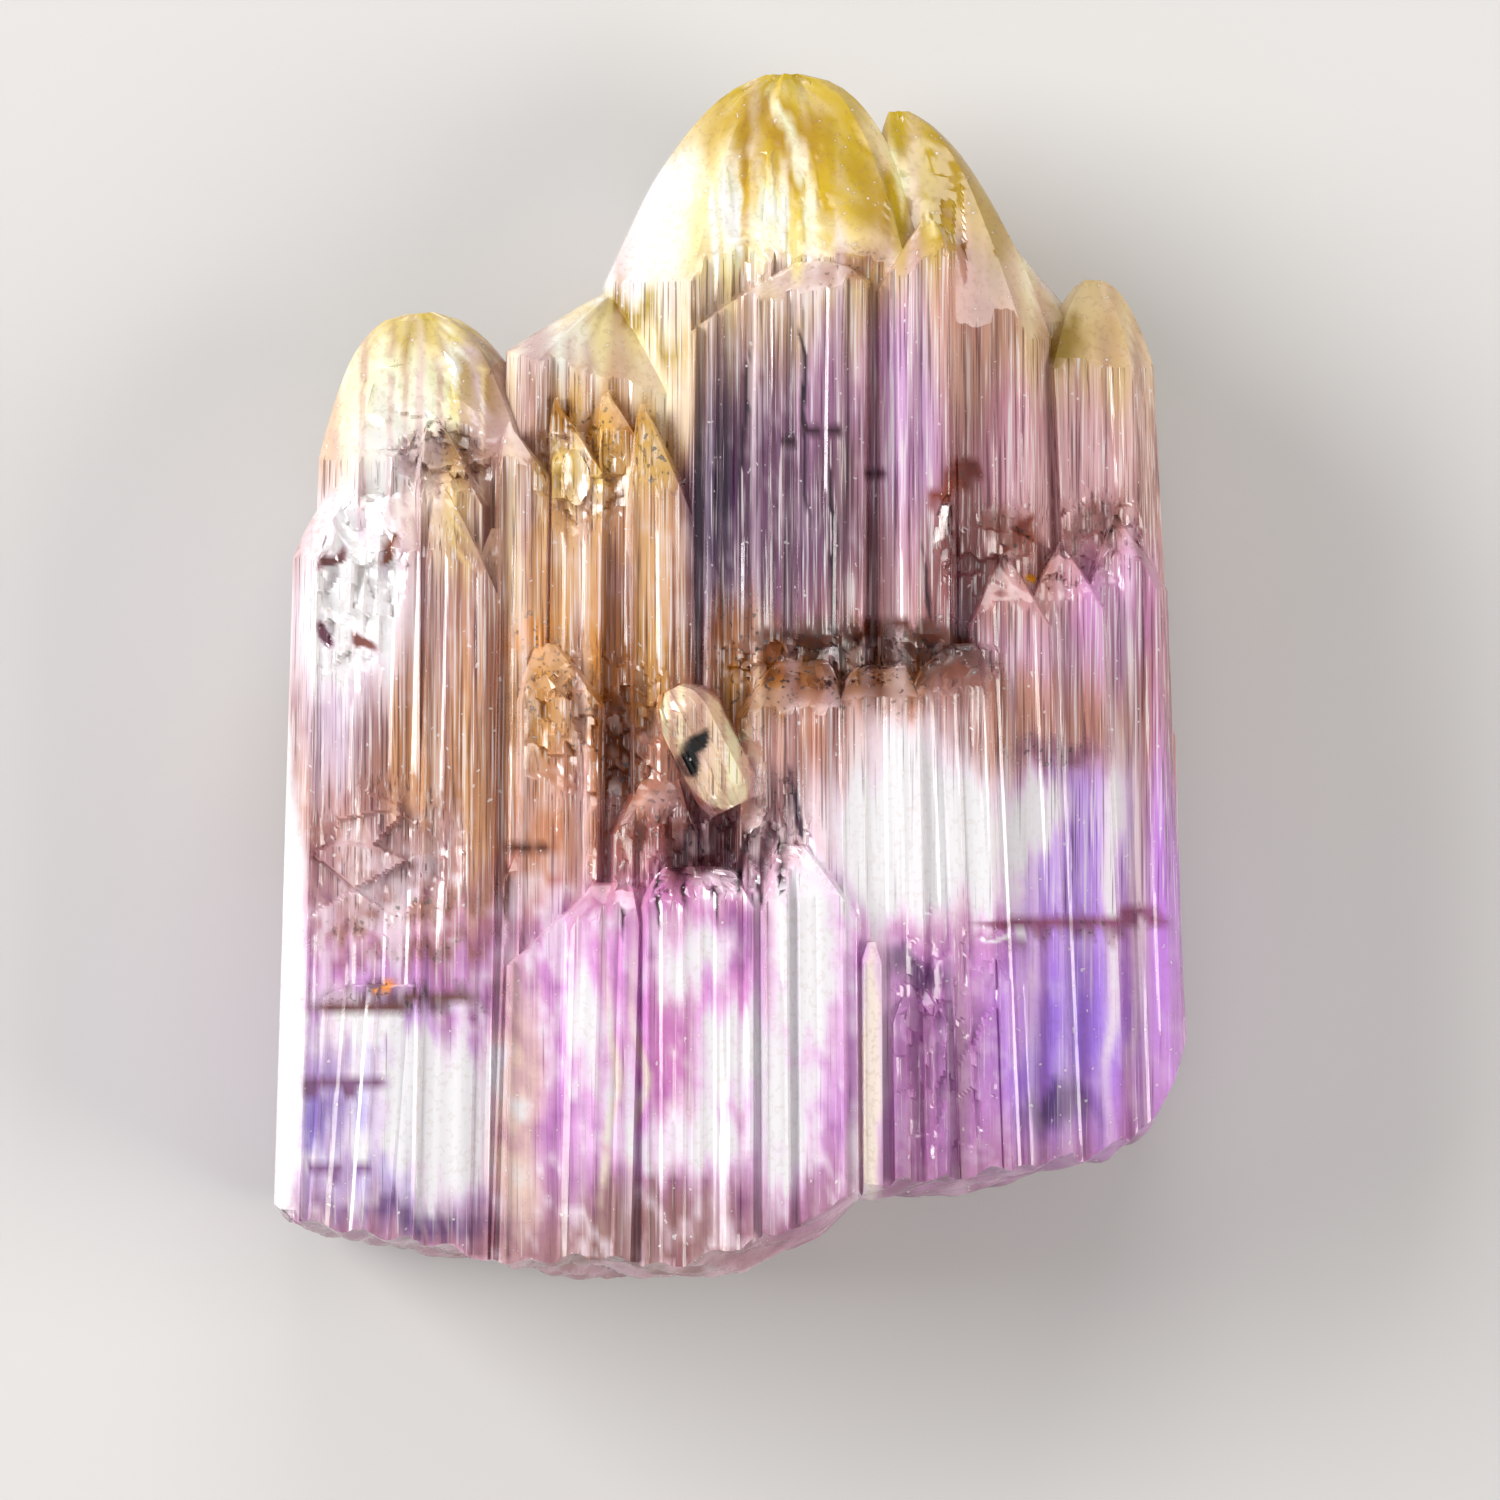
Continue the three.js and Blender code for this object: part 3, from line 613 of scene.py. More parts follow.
# %% The askew crystal
ASKEW = dict(centre=(-0.48, -1.3, 6.95), half=0.68, length=2.6, depth=1.9, turn=27)
ASKEW_ENDS = [(-0.5, 0.75), (-0.36, 1), (0.3, 1), (0.42, 0.82), (0.5, 0.4)]
ASKEW_RINGS = 45
ASKEW_SEED = 90


def askew_solid(askew):
    """The small crystal in the pocket, turned about Z."""
    half, depth = askew["half"], askew["depth"]
    shape = dict(half=half, back=0, front=depth, bevel=(0.15, 0.3), steps=4, relief=0.08)
    loop, inward, stepped, lined = loop_round(shape, ASKEW_SEED)
    along, shares = zip(*ASKEW_ENDS)
    along_loop = np.arange(len(loop)) * LINE_SPACING
    rings = []
    for place in np.linspace(along[0], along[-1], ASKEW_RINGS):
        share = float(np.interp(place, along, shares))
        y = place * askew["length"]
        lines = 0.7 * lined * thin_lines(along_loop, y, ASKEW_SEED + 1)
        spots = loop + inward * (stepped + lines)[:, None]
        ring = np.column_stack([
            mix(-0.2 * half, spots[:, 0], share), np.full(len(loop), y),
            mix(0.6 * depth, spots[:, 1], share) - depth / 2])
        rings.append(turned(ring, askew["turn"]) + askew["centre"])
    return solid_mesh("askew_crystal", np.array(rings))


crystal = combined(crystal, [askew_solid(ASKEW)], "UNION")
print("faces with the askew crystal:", len(crystal.data.polygons))

# %% [markdown]
# ## Breaks and splinters
#
# On the left the front face is broken: shell-shaped scars with fine ripples, and a splintered
# patch of small tilted facets that glitters. They are moved into the mesh itself, because the
# light has to bend on them. The long thin faces there are cut up first, because a small facet
# needs points of its own. Only points that look upwards are pressed down, so the outline stays.
# The front of the two highest tips has shallow flutes that are made in the same way.

# %% The scars and flutes
SCARS = [
    dict(name="splinters_high", at=(-7.35, 1.9), radii=(1.0, 2.0), turn=-6, depth=0.3, size=(0.34, 0.62)),
    dict(name="splinters_dome", at=(-6.3, 5.9), radii=(1.7, 1.5), turn=20, depth=0.22, size=(0.75, 0.9)),
    dict(name="speckled_lump", at=(-5.7, 4.4), radii=(1.0, 0.8), turn=-10, depth=0.4, size=(0.3, 0.3)),
    dict(name="left_block", at=(-6.9, -3.6), radii=(1.7, 1.5), turn=15, depth=0.3, size=(1.1, 0.7)),
    dict(name="ledge", at=(2.5, 0.35), radii=(2.8, 0.6), turn=0, depth=0.35, size=(0.35, 0.3)),
    dict(name="ragged_step", at=(-0.6, -3.4), radii=(2.2, 0.9), turn=8, depth=0.35, size=(0.22, 0.7)),
    dict(name="etched", at=(4.3, -6.9), radii=(1.2, 2.6), turn=0, depth=0.2, size=(0.35, 0.9)),
    dict(name="right_tips", at=(6.3, 2.6), radii=(2.2, 1.0), turn=10, depth=0.25, size=(0.5, 0.5)),
    dict(name="brown_middle", at=(-2.6, -0.9), radii=(1.6, 1.6), turn=0, depth=0.3, size=(0.4, 0.5)),
    dict(name="tip_flutes", at=(0.6, 9.3), radii=(1.5, 1.8), turn=0, depth=0.07, size=(0.22, 2.5)),
    dict(name="second_flutes", at=(4.1, 9.6), radii=(1.2, 2.0), turn=24, depth=0.06, size=(0.22, 2.5)),
    dict(name="cream_cavity", at=(-3.0, 4.0), radii=(0.9, 1.2), turn=10, depth=0.3, size=(0.35, 0.4)),
]
print("scars:", len(SCARS), "deepest in mm:", max(scar["depth"] for scar in SCARS))

# %% Facets and soft ellipses
def facets(x, y, size, seed):
    """Small tilted facets, like broken glass, as depths from 0 to 1."""
    u, v = x / size[0], y / size[1]
    nearest = np.full(u.shape, 9.0)
    depth = np.zeros(u.shape)
    for i in (-1, 0, 1):
        for j in (-1, 0, 1):
            cu, cv = np.floor(u) + i, np.floor(v) + j
            du = u - cu - scatter(cu, cv, seed)
            dv = v - cv - scatter(cu, cv, seed + 1)
            distance = du * du + dv * dv
            tilt = (scatter(cu, cv, seed + 2) - 0.5) * du + (scatter(cu, cv, seed + 3) - 0.5) * dv
            closer = distance < nearest
            nearest = np.where(closer, distance, nearest)
            depth = np.where(closer, 1.6 * tilt + scatter(cu, cv, seed + 4), depth)
    return np.clip(depth, 0, 1)


def inside(x, y, at, radii, turn, soft=0.5):
    """1 within a turned ellipse, falling smoothly to 0 at its edge."""
    angle = math.radians(turn)
    across = (x - at[0]) * math.cos(angle) + (y - at[1]) * math.sin(angle)
    along = (y - at[1]) * math.cos(angle) - (x - at[0]) * math.sin(angle)
    reach = np.hypot(across / radii[0], along / radii[1])
    return 1 - ramp(reach, 1 - soft, 1 + soft * 0.4)


shares = inside(np.array([0.0, 1.0, 2.0]), np.zeros(3), at=(0, 0), radii=(1, 1), turn=0)
print("share at the middle, the edge and beyond:", shares.round(2))

# %% Cutting up the long faces in the scars
LONGEST_EDGE = 0.16
FRONT_FROM = 4.5


def split_long_edges(mesh, longest, wanted):
    """Cut the long edges whose middle is wanted, so that small shapes can be pressed in."""
    cage = bmesh.new()
    cage.from_mesh(mesh)
    long_edges = []
    for edge in cage.edges:
        middle = (edge.verts[0].co + edge.verts[1].co) / 2
        if edge.calc_length() > longest and wanted(middle):
            long_edges.append(edge)
    bmesh.ops.subdivide_edges(cage, edges=long_edges, cuts=3, use_grid_fill=True)
    cage.to_mesh(mesh)
    cage.free()
    print("edges cut:", len(long_edges), "faces now:", len(mesh.polygons))


def in_a_scar(spot):
    """Whether a spot on the front is within the box of any scar."""
    return spot.z > FRONT_FROM and any(
        abs(spot.x - scar["at"][0]) < scar["radii"][0] and abs(spot.y - scar["at"][1]) < scar["radii"][1]
        for scar in SCARS)


split_long_edges(crystal.data, LONGEST_EDGE, in_a_scar)

# %% [markdown]
# ## One clean skin
#
# Where faces of two prisms lie almost in one plane, the joins leave pairs of thin triangles back to
# back on the same points. They can't be seen, but they are stray faces in the finished mesh, so
# points that coincide are welded and such pairs are taken out.

# %% Welding
WELD_DIGITS = 5


def read_points(mesh, kind):
    """The coordinates ("co") or the normals ("normal") of a mesh's points, as rows."""
    flat = np.empty(len(mesh.vertices) * 3)
    mesh.vertices.foreach_get(kind, flat)
    return flat.reshape(-1, 3)


def welded(mesh):
    """The mesh in triangles, without pairs of faces that lie back to back on the same points."""
    mesh.calc_loop_triangles()
    corners = np.empty(len(mesh.loop_triangles) * 3, dtype=np.int32)
    mesh.loop_triangles.foreach_get("vertices", corners)
    rounded = read_points(mesh, "co").round(WELD_DIGITS)
    spots, place = np.unique(rounded, axis=0, return_inverse=True)
    triangles = place.ravel()[corners].reshape(-1, 3)
    low_first = np.sort(triangles, axis=1)
    whole = (np.diff(low_first, axis=1) > 0).all(axis=1)
    _, kind, copies = np.unique(low_first, axis=0, return_inverse=True, return_counts=True)
    triangles = triangles[whole & (copies[kind.ravel()] == 1)]
    used, triangles = np.unique(triangles, return_inverse=True)
    clean = bpy.data.meshes.new("welded")
    clean.from_pydata(spots[used].tolist(), [], triangles.reshape(-1, 3).tolist())
    print("faces before and after the weld:", len(corners) // 3, len(clean.polygons))
    return clean


crystal.data = welded(crystal.data)

# %% Pressing them in
RIPPLE_LENGTH = 0.55

points = read_points(crystal.data, "co")
x, y, z = points.T
upward = ramp(read_points(crystal.data, "normal")[:, 2], 0.25, 0.7) * ramp(z, 3.5, 5.0)
sunk = np.zeros(len(points))
for seed, scar in enumerate(SCARS):
    share = inside(x, y, scar["at"], scar["radii"], scar["turn"])
    distance = np.hypot(x - scar["at"][0] - scar["radii"][0], y - scar["at"][1] - scar["radii"][1])
    ripples = 0.5 + 0.5 * np.sin(distance * 2 * math.pi / RIPPLE_LENGTH)
    broken = 0.85 * facets(x, y, scar["size"], seed) + 0.15 * ripples
    sunk = np.maximum(sunk, share * scar["depth"] * broken)
points[:, 2] -= sunk * upward
print("deepest scar in mm:", round(float(sunk.max()), 2))

# %% Into place
# The bundle is drawn about its own axis. It moves so that the middle of its outline is over the
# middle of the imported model, and then from millimetres to metres.
low, high = (np.array(corner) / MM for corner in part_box(NODE))
shift = (low + high) / 2 - (points.min(axis=0) + points.max(axis=0)) / 2
shift[2] = -points[:, 2].min()
points = np.clip(points + shift, low, high)
crystal.data.vertices.foreach_set("co", (points * MM).ravel())
crystal.data.update()
print("moved by mm:", shift.round(3), "triangles:", sum(len(p.vertices) - 2 for p in crystal.data.polygons))

# %% Flat facets, round domes
# Faces that meet at less than this angle are shaded as one curve, and sharper edges stay crisp.
SMOOTH_BELOW = math.radians(22)
crystal.data.shade_smooth()
crystal.data.set_sharp_from_angle(angle=SMOOTH_BELOW)
print("degrees below which faces are smooth:", round(math.degrees(SMOOTH_BELOW)))

# %% [markdown]
# ## The colours of growth
#
# The tips are cream and olive-yellow, the middle is pink-brown, and the foot is lilac to
# violet-blue, in soft patches with clear and milky places between them. Such zoning fills the
# stone, so it is one colour for each place across and along the bundle, from front to back. It
# could be drawn with a shader node for each patch, but so many patches would be slow to shade. So
# the patches are mixed once for each point of the mesh and kept as a colour attribute. Stains,
# painted glows of light, cracks and growth bands are laid over them in the same way, the sharpest
# of them last, and nodes add only what is finer than the mesh: hairlines, pits, painted glints and
# specks.

# %% Colour along the bundle
# Each row: y in mm, and the colour there as red, green and blue on a screen, from 0 to 255.
ALONG_THE_BUNDLE = [
    (-12.0, (176, 138, 142)), (-10.5, (178, 142, 162)), (-8.5, (204, 162, 206)), (-5.5, (206, 164, 206)),
    (-3.5, (198, 158, 156)), (-1.5, (198, 158, 138)), (1.0, (186, 148, 146)), (4.5, (196, 164, 152)),
    (7.5, (222, 206, 174)), (9.5, (220, 204, 140)), (12.0, (196, 178, 96)),
]
print("levels of colour:", len(ALONG_THE_BUNDLE))

# %% Patches of the tips
# Each row: colour, middle and radii in mm, turn in degrees, strength.
TIP_PATCHES = [
    # The tallest and second tips
    ((222, 202, 118), (1.0, 9.9), (2.7, 2.3), 0, 1.0),
    ((236, 226, 178), (0.5, 8.5), (1.9, 1.0), 0, 0.85),
    ((240, 238, 234), (-1.9, 8.7), (1.4, 3.1), -28, 1.0),
    ((178, 150, 44), (1.0, 10.9), (1.9, 0.9), 0, 0.97),
    ((198, 174, 84), (2.1, 9.5), (0.5, 1.3), 12, 0.85),
    ((255, 252, 236), (0.1, 9.4), (0.24, 1.5), 0, 0.95),
    ((255, 250, 232), (0.85, 9.2), (0.2, 1.2), 0, 0.9),
    ((255, 248, 226), (1.6, 9.3), (0.18, 1.1), 0, 0.85),
    ((188, 168, 70), (2.9, 9.9), (0.8, 1.8), 24, 0.9),
    ((252, 248, 224), (1.15, 11.0), (0.2, 0.9), 25, 0.9),
    ((186, 166, 66), (4.3, 9.6), (1.5, 2.9), 26, 1.0),
    # A painted highlight along the ridge of the second tip
    ((250, 236, 196), (3.35, 9.95), (0.2, 1.7), 28, 0.95),
    ((206, 178, 158), (5.1, 7.0), (0.9, 1.4), 10, 0.9),
    ((244, 234, 210), (6.2, 8.3), (0.9, 0.8), 30, 0.95),
    ((214, 196, 156), (7.5, 7.0), (0.9, 1.4), 0, 0.9),
    ((150, 128, 54), (6.7, 6.9), (0.45, 0.6), 35, 0.9),
    # The left tips
    ((232, 220, 176), (-2.4, 6.8), (1.5, 1.1), 0, 0.9),
    ((166, 146, 66), (-1.9, 7.3), (0.9, 0.35), -20, 0.9),
    ((244, 240, 228), (-3.4, 6.2), (1.0, 0.8), -30, 0.95),
    ((238, 228, 206), (-1.5, 5.4), (0.8, 1.5), 0, 0.9),
    ((248, 240, 208), (-6.2, 5.6), (2.3, 2.1), 0, 0.95),
    ((196, 180, 90), (-5.0, 6.2), (0.7, 0.9), 25, 0.7),
    ((206, 190, 116), (-6.2, 7.0), (1.2, 0.5), 0, 0.8),
    ((255, 252, 240), (-5.2, 6.1), (0.16, 1.1), 38, 0.9),
    ((168, 132, 84), (-5.6, 4.4), (0.9, 0.6), -20, 0.85),
    ((240, 230, 222), (-6.9, 3.5), (1.6, 1.2), 0, 0.95),
    ((224, 206, 162), (-5.2, 2.9), (0.7, 1.4), 0, 0.9),
    ((255, 252, 255), (-7.4, 1.3), (1.5, 2.3), -5, 1.0),
]
print("patches of the tips:", len(TIP_PATCHES))

# %% Patches of the middle
MIDDLE_PATCHES = [
    # The tan points and their long faces
    ((218, 186, 148), (-2.6, 2.2), (2.3, 3.2), 0, 0.9),
    ((232, 210, 152), (-3.0, 4.3), (1.8, 1.2), 20, 0.9),
    ((238, 222, 190), (-4.4, 2.4), (0.6, 2.0), 0, 0.85),
    ((156, 112, 52), (-3.3, 4.9), (0.35, 0.5), 25, 0.9),
    ((172, 124, 52), (-2.0, 5.0), (0.3, 0.4), 0, 0.8),
    ((206, 156, 90), (-3.3, 0.1), (1.5, 1.7), 0, 0.85),
    ((202, 164, 108), (-1.6, 0.2), (1.0, 1.4), 0, 0.8),
    # The dark recessed prisms under the tallest tip
    ((124, 94, 122), (1.0, 3.5), (2.1, 3.5), 0, 0.92),
    ((88, 68, 100), (-0.4, 3.5), (0.65, 3.1), 0, 0.97),
    ((190, 158, 186), (1.9, 5.9), (0.8, 1.8), 0, 0.85),
    ((222, 206, 200), (1.3, 7.8), (1.2, 0.5), 20, 0.9),
    ((206, 174, 208), (3.5, 5.2), (1.0, 3.4), 0, 0.95),
    ((224, 190, 176), (4.6, 7.4), (0.6, 1.6), 0, 0.85),
    ((206, 164, 180), (5.4, 4.6), (0.8, 1.8), 0, 0.8),
    # The right middle
    ((214, 184, 188), (6.8, 4.3), (1.4, 1.8), 0, 0.85),
    ((144, 98, 96), (4.5, 2.4), (0.7, 1.7), 10, 0.8),
    ((206, 160, 204), (7.6, 1.4), (1.2, 1.6), 0, 0.85),
    ((202, 172, 190), (5.9, 0.6), (1.6, 1.0), 0, 0.75),
    ((222, 196, 186), (4.0, -0.9), (1.0, 0.7), 0, 0.7),
    # The left middle
    ((214, 202, 216), (-7.6, -1.0), (1.2, 1.5), 0, 0.9),
    ((206, 168, 132), (-5.3, -1.8), (2.1, 3.6), 0, 0.95),
    ((202, 178, 176), (-7.0, -4.0), (2.0, 1.6), 0, 0.95),
    ((194, 148, 122), (-2.7, -3.0), (2.0, 1.9), 0, 0.9),
]
print("patches of the middle:", len(MIDDLE_PATCHES))

# %% Patches of the foot
# The near-white rows are milky stone with a painted glow laid on it, for light that shines through; the
# painted glows below lie on the same places
FOOT_PATCHES = [
    # The violet foot
    ((224, 172, 218), (-1.0, -6.6), (3.0, 3.3), 0, 0.95),
    ((255, 244, 255), (-0.9, -5.4), (0.8, 0.8), 0, 0.9),
    ((255, 240, 255), (0.2, -7.3), (0.9, 0.9), 0, 0.95),
    ((255, 238, 252), (-0.7, -9.1), (1.4, 1.1), 0, 0.95),
    ((255, 240, 250), (1.5, -5.8), (0.9, 2.6), 0, 1.0),
    ((255, 240, 254), (1.1, -8.6), (0.9, 1.5), 0, 0.95),
    ((255, 242, 254), (-2.9, -6.8), (0.5, 1.2), 0, 0.95),
    ((250, 230, 248), (-2.3, -8.6), (0.6, 1.1), 0, 0.8),
    ((166, 116, 166), (0.1, -5.0), (0.5, 0.9), 0, 0.7),
    ((255, 252, 255), (3.5, -2.4), (1.8, 1.2), 0, 1.0),
    ((255, 250, 255), (4.4, -3.9), (1.6, 1.0), 0, 1.0),
    ((250, 232, 250), (2.4, -4.3), (1.3, 0.8), 0, 0.9),
    ((202, 176, 234), (6.7, -3.4), (1.8, 2.4), 0, 0.97),
    ((250, 246, 255), (6.0, -2.7), (0.8, 0.8), 0, 0.85),
    ((172, 142, 220), (6.6, -7.0), (1.7, 2.4), 0, 0.97),
    ((226, 196, 246), (5.6, -6.2), (0.4, 1.6), 0, 0.8),
    ((186, 144, 184), (4.2, -7.8), (1.2, 2.4), 0, 0.8),
    ((104, 68, 112), (3.5, -5.7), (0.8, 0.4), -10, 0.9),
    ((84, 54, 112), (6.5, -8.6), (0.8, 0.45), 0, 0.9),
    ((240, 232, 236), (2.78, -8.2), (0.4, 3.4), 0, 1.0),
    ((204, 158, 226), (8.6, -4.4), (0.5, 4.8), 0, 0.9),
    ((248, 238, 238), (7.45, -3.5), (0.16, 5.5), 0, 0.9),
    ((248, 238, 238), (7.95, -3.5), (0.16, 5.5), 0, 0.9),
    ((248, 238, 222), (-2.4, -8.5), (0.13, 3.4), 0, 0.95),
    ((244, 234, 218), (-1.85, -8.0), (0.11, 3.2), 0, 0.9),
    ((168, 140, 134), (-1.8, -11.0), (2.6, 1.1), 0, 0.85),
    # The pale block at the lower left
    ((214, 210, 236), (-6.8, -8.5), (2.4, 2.5), 0, 1.0),
    ((255, 255, 255), (-5.6, -8.4), (1.2, 1.9), 0, 1.0),
    ((252, 252, 255), (-7.0, -7.1), (1.5, 0.55), 0, 1.0),
    ((240, 240, 255), (-7.2, -9.2), (1.3, 0.4), 0, 0.9),
    ((158, 144, 200), (-8.1, -8.5), (0.7, 0.8), 0, 0.8),
    ((252, 236, 206), (-5.9, -8.6), (0.3, 1.2), 0, 0.7),
    ((112, 84, 128), (-6.2, -10.6), (1.9, 0.35), -6, 0.85),
    ((236, 218, 204), (-4.3, -8.4), (0.6, 3.2), 0, 0.9),
]
PATCHES = TIP_PATCHES + MIDDLE_PATCHES + FOOT_PATCHES
print("patches of the foot:", len(FOOT_PATCHES), "and in all:", len(PATCHES))

# %% Stains
# They lie only on the front, where the steps caught dirt. The rows are like those of the patches.
STAINS = [
    ((190, 156, 84), (-1.5, 4.5), (0.5, 1.0), 10, 0.8),
    ((206, 164, 84), (-2.6, 4.9), (0.5, 0.8), 10, 0.8),
    ((94, 44, 50), (-0.1, -3.3), (1.2, 0.6), 6, 0.9),
    ((112, 56, 60), (1.0, -2.6), (0.6, 1.0), 10, 0.8),
    ((188, 146, 84), (-3.5, -0.4), (1.2, 1.2), 10, 0.65),
    ((158, 108, 56), (-2.2, -1.4), (0.5, 1.0), 0, 0.9),
    ((128, 86, 42), (2.1, 0.2), (3.2, 0.9), 0, 0.95),
    ((78, 50, 28), (1.4, 0.6), (1.8, 0.5), 3, 0.95),
    ((94, 60, 40), (3.9, 0.7), (1.3, 0.5), -6, 0.95),
    ((164, 110, 50), (0.4, 0.6), (0.9, 1.3), 20, 0.9),
    ((172, 132, 72), (0.4, -0.2), (0.6, 0.9), 0, 0.85),
    ((102, 52, 44), (-0.4, -3.1), (0.9, 0.6), 12, 0.9),
    ((138, 84, 74), (-1.2, -2.6), (1.0, 0.6), 30, 0.7),
    ((128, 62, 46), (4.6, 4.05), (0.4, 0.28), -10, 0.9),
    ((138, 82, 66), (5.6, 2.9), (1.1, 0.42), -40, 0.95),
    ((128, 76, 60), (7.3, 3.2), (0.8, 0.4), 40, 0.95),
    ((132, 84, 104), (6.3, -1.3), (1.1, 0.32), 0, 0.85),
    ((126, 78, 108), (6.9, -4.9), (2.0, 0.2), 4, 0.8),
    ((96, 58, 74), (-6.5, -6.25), (2.1, 0.26), 0, 0.9),
    ((150, 106, 82), (-6.4, -4.6), (2.2, 0.28), 15, 0.7),
    ((140, 92, 72), (-6.0, -5.3), (2.0, 0.2), 10, 0.7),
    ((150, 104, 78), (2.2, 8.1), (1.0, 0.3), 12, 0.75),
    ((128, 92, 52), (-5.9, 4.6), (0.8, 0.5), 0, 0.7),
    ((214, 150, 60), (-4.1, 0.8), (0.5, 0.4), 0, 0.7),
]
print("stains:", len(STAINS))

# %% Painted glows
# Painted glow: places where milky white is laid on to stand for light that shines through from inside the
# stone: middle and radii in mm, strength.
PAINTED_GLOWS = [
    ((3.8, -3.1), (2.5, 1.8), 0.95),
    ((3.2, -1.3), (1.4, 0.6), 0.5),
    ((-5.7, -8.4), (1.2, 1.8), 0.8),
    ((-7.0, -7.1), (1.0, 0.4), 0.6),
    ((0.2, -7.3), (0.9, 1.0), 0.7),
    ((-0.8, -5.3), (0.9, 0.6), 0.7),
    ((1.5, -5.7), (0.6, 2.0), 0.85),
    ((1.1, -8.6), (0.7, 1.0), 0.6),
    ((-0.7, -9.1), (1.2, 0.9), 0.6),
    ((-2.9, -6.8), (0.4, 1.0), 0.7),
    ((6.1, -2.7), (0.8, 0.8), 0.6),
    ((7.5, -2.6), (0.3, 1.1), 0.6),
    ((-7.4, 1.4), (1.3, 2.2), 0.8),
    ((-6.6, 5.0), (1.2, 1.4), 0.4),
]
print("glows:", len(PAINTED_GLOWS))

# %% Single marks
# Each row: colour, middle and radii in mm, turn in degrees.
MARKS = [
    # A two-lobed black spot painted on the askew crystal, in the place of a bright reflection
    ((8, 8, 10), (-0.64, -1.2), (0.22, 0.38), -35),
    ((8, 8, 10), (-0.86, -1.62), (0.25, 0.3), 10),
    # Cracks in the dark recess, down it and across it
    ((36, 20, 40), (0.25, 5.2), (0.05, 1.6), -4),
    ((30, 14, 26), (1.45, 5.2), (0.06, 2.3), 2),
    ((36, 18, 34), (2.0, 2.4), (0.05, 2.2), 1),
    ((52, 26, 40), (3.9, 1.6), (0.05, 1.1), 6),
    ((60, 30, 46), (1.5, 4.85), (1.0, 0.06), 12),
    ((70, 36, 50), (2.6, 4.2), (0.6, 0.05), -8),
    # The dark teeth of the ragged step
    ((56, 26, 50), (1.3, -2.4), (0.08, 0.9), 12),
    ((60, 28, 40), (-1.4, -4.2), (0.06, 0.6), 0),
    ((60, 28, 40), (-0.3, -4.3), (0.06, 0.5), 0),
    ((70, 30, 50), (0.6, -3.9), (0.06, 0.6), 0),
    ((52, 20, 32), (-2.1, -4.6), (0.05, 0.5), 0),
    ((52, 20, 32), (-0.9, -3.8), (0.06, 0.6), 3),
    ((52, 20, 32), (0.2, -3.6), (0.07, 0.7), -3),
    ((60, 24, 40), (1.0, -3.6), (0.06, 0.9), 4),
    # Brown cracks at the left
    ((92, 48, 30), (-4.0, -3.4), (0.6, 0.07), -5),
    ((92, 48, 30), (-4.4, -4.1), (0.07, 0.6), 0),
    # Crisp streaks on the front of the two highest tips
    ((250, 246, 232), (-0.3, 8.9), (0.09, 1.1), 0),
    ((252, 248, 236), (0.15, 9.3), (0.12, 1.3), 1),
    ((248, 242, 220), (0.62, 9.1), (0.07, 1.2), 0),
    ((252, 246, 228), (1.05, 9.4), (0.1, 1.2), -1),
    ((246, 238, 214), (1.5, 9.2), (0.06, 1.1), 0),
    ((248, 238, 206), (3.75, 9.7), (0.07, 1.0), 22),
    ((150, 108, 44), (4.3, 9.3), (0.06, 1.2), 24),
    # Rust at the right notch and along the zigzag
    ((112, 52, 40), (4.6, 4.05), (0.45, 0.34), -10),
    ((132, 76, 62), (4.25, 3.75), (0.5, 0.2), 35),
    ((124, 70, 56), (5.55, 2.75), (0.6, 0.14), 42),
    # The shadowed rim of the ledge
    ((84, 44, 26), (1.9, 0.85), (1.5, 0.16), 4),
    ((96, 52, 36), (3.9, 0.95), (0.9, 0.12), -8),
    # Flecks in the splintered patch
    ((120, 84, 84), (-7.9, 2.4), (0.34, 0.12), 35),
    ((132, 92, 84), (-7.2, 0.7), (0.3, 0.14), -30),
    ((110, 76, 88), (-8.0, 0.9), (0.14, 0.34), 20),
    ((140, 96, 80), (-6.7, 2.6), (0.3, 0.12), 50),
    # Growth bands across the pale block and the right side, and a painted highlight under the right one
    ((112, 76, 70), (-6.75, -6.35), (1.95, 0.14), 1),
    ((244, 240, 250), (-6.9, -6.62), (1.6, 0.08), 1),
    ((132, 102, 128), (-7.75, -7.95), (1.15, 0.15), 3),
    ((140, 112, 146), (-7.8, -9.6), (0.9, 0.12), -3),
    ((140, 88, 112), (6.7, -4.75), (2.1, 0.14), 3),
    # A painted highlight: a thin white line under the brown band on the right side
    ((252, 238, 252), (5.7, -5.05), (0.9, 0.06), 6),
    # The pale rib and the bright left bevel
    ((236, 226, 216), (2.76, -7.8), (0.2, 2.8), 0),
    ((244, 243, 246), (-8.85, -6.6), (0.55, 5.0), -1),
    ((252, 248, 252), (-9.0, 0.2), (0.3, 3.0), 3),
    # Small spots: orange, dark, rust and yellow
    ((238, 160, 50), (-6.8, -6.0), (0.26, 0.12), 0),
    ((30, 20, 10), (6.2, 7.65), (0.18, 0.12), 0),
    ((206, 140, 40), (6.25, 7.5), (0.26, 0.14), 0),
    ((226, 176, 50), (5.95, 2.1), (0.13, 0.12), 0),
]
print("marks:", len(MARKS))

# %% [markdown]
# ## Mixing the colours
#
# The edges of a patch must not look drawn. So before a point is tested against the ellipses, it is
# moved about by noise: by broad noise that bends the edges, and by streaks and fibres that draw
# them out along the prisms. Colours are mixed as amounts of light, not as screen values, because
# that is what real layers of stone do.

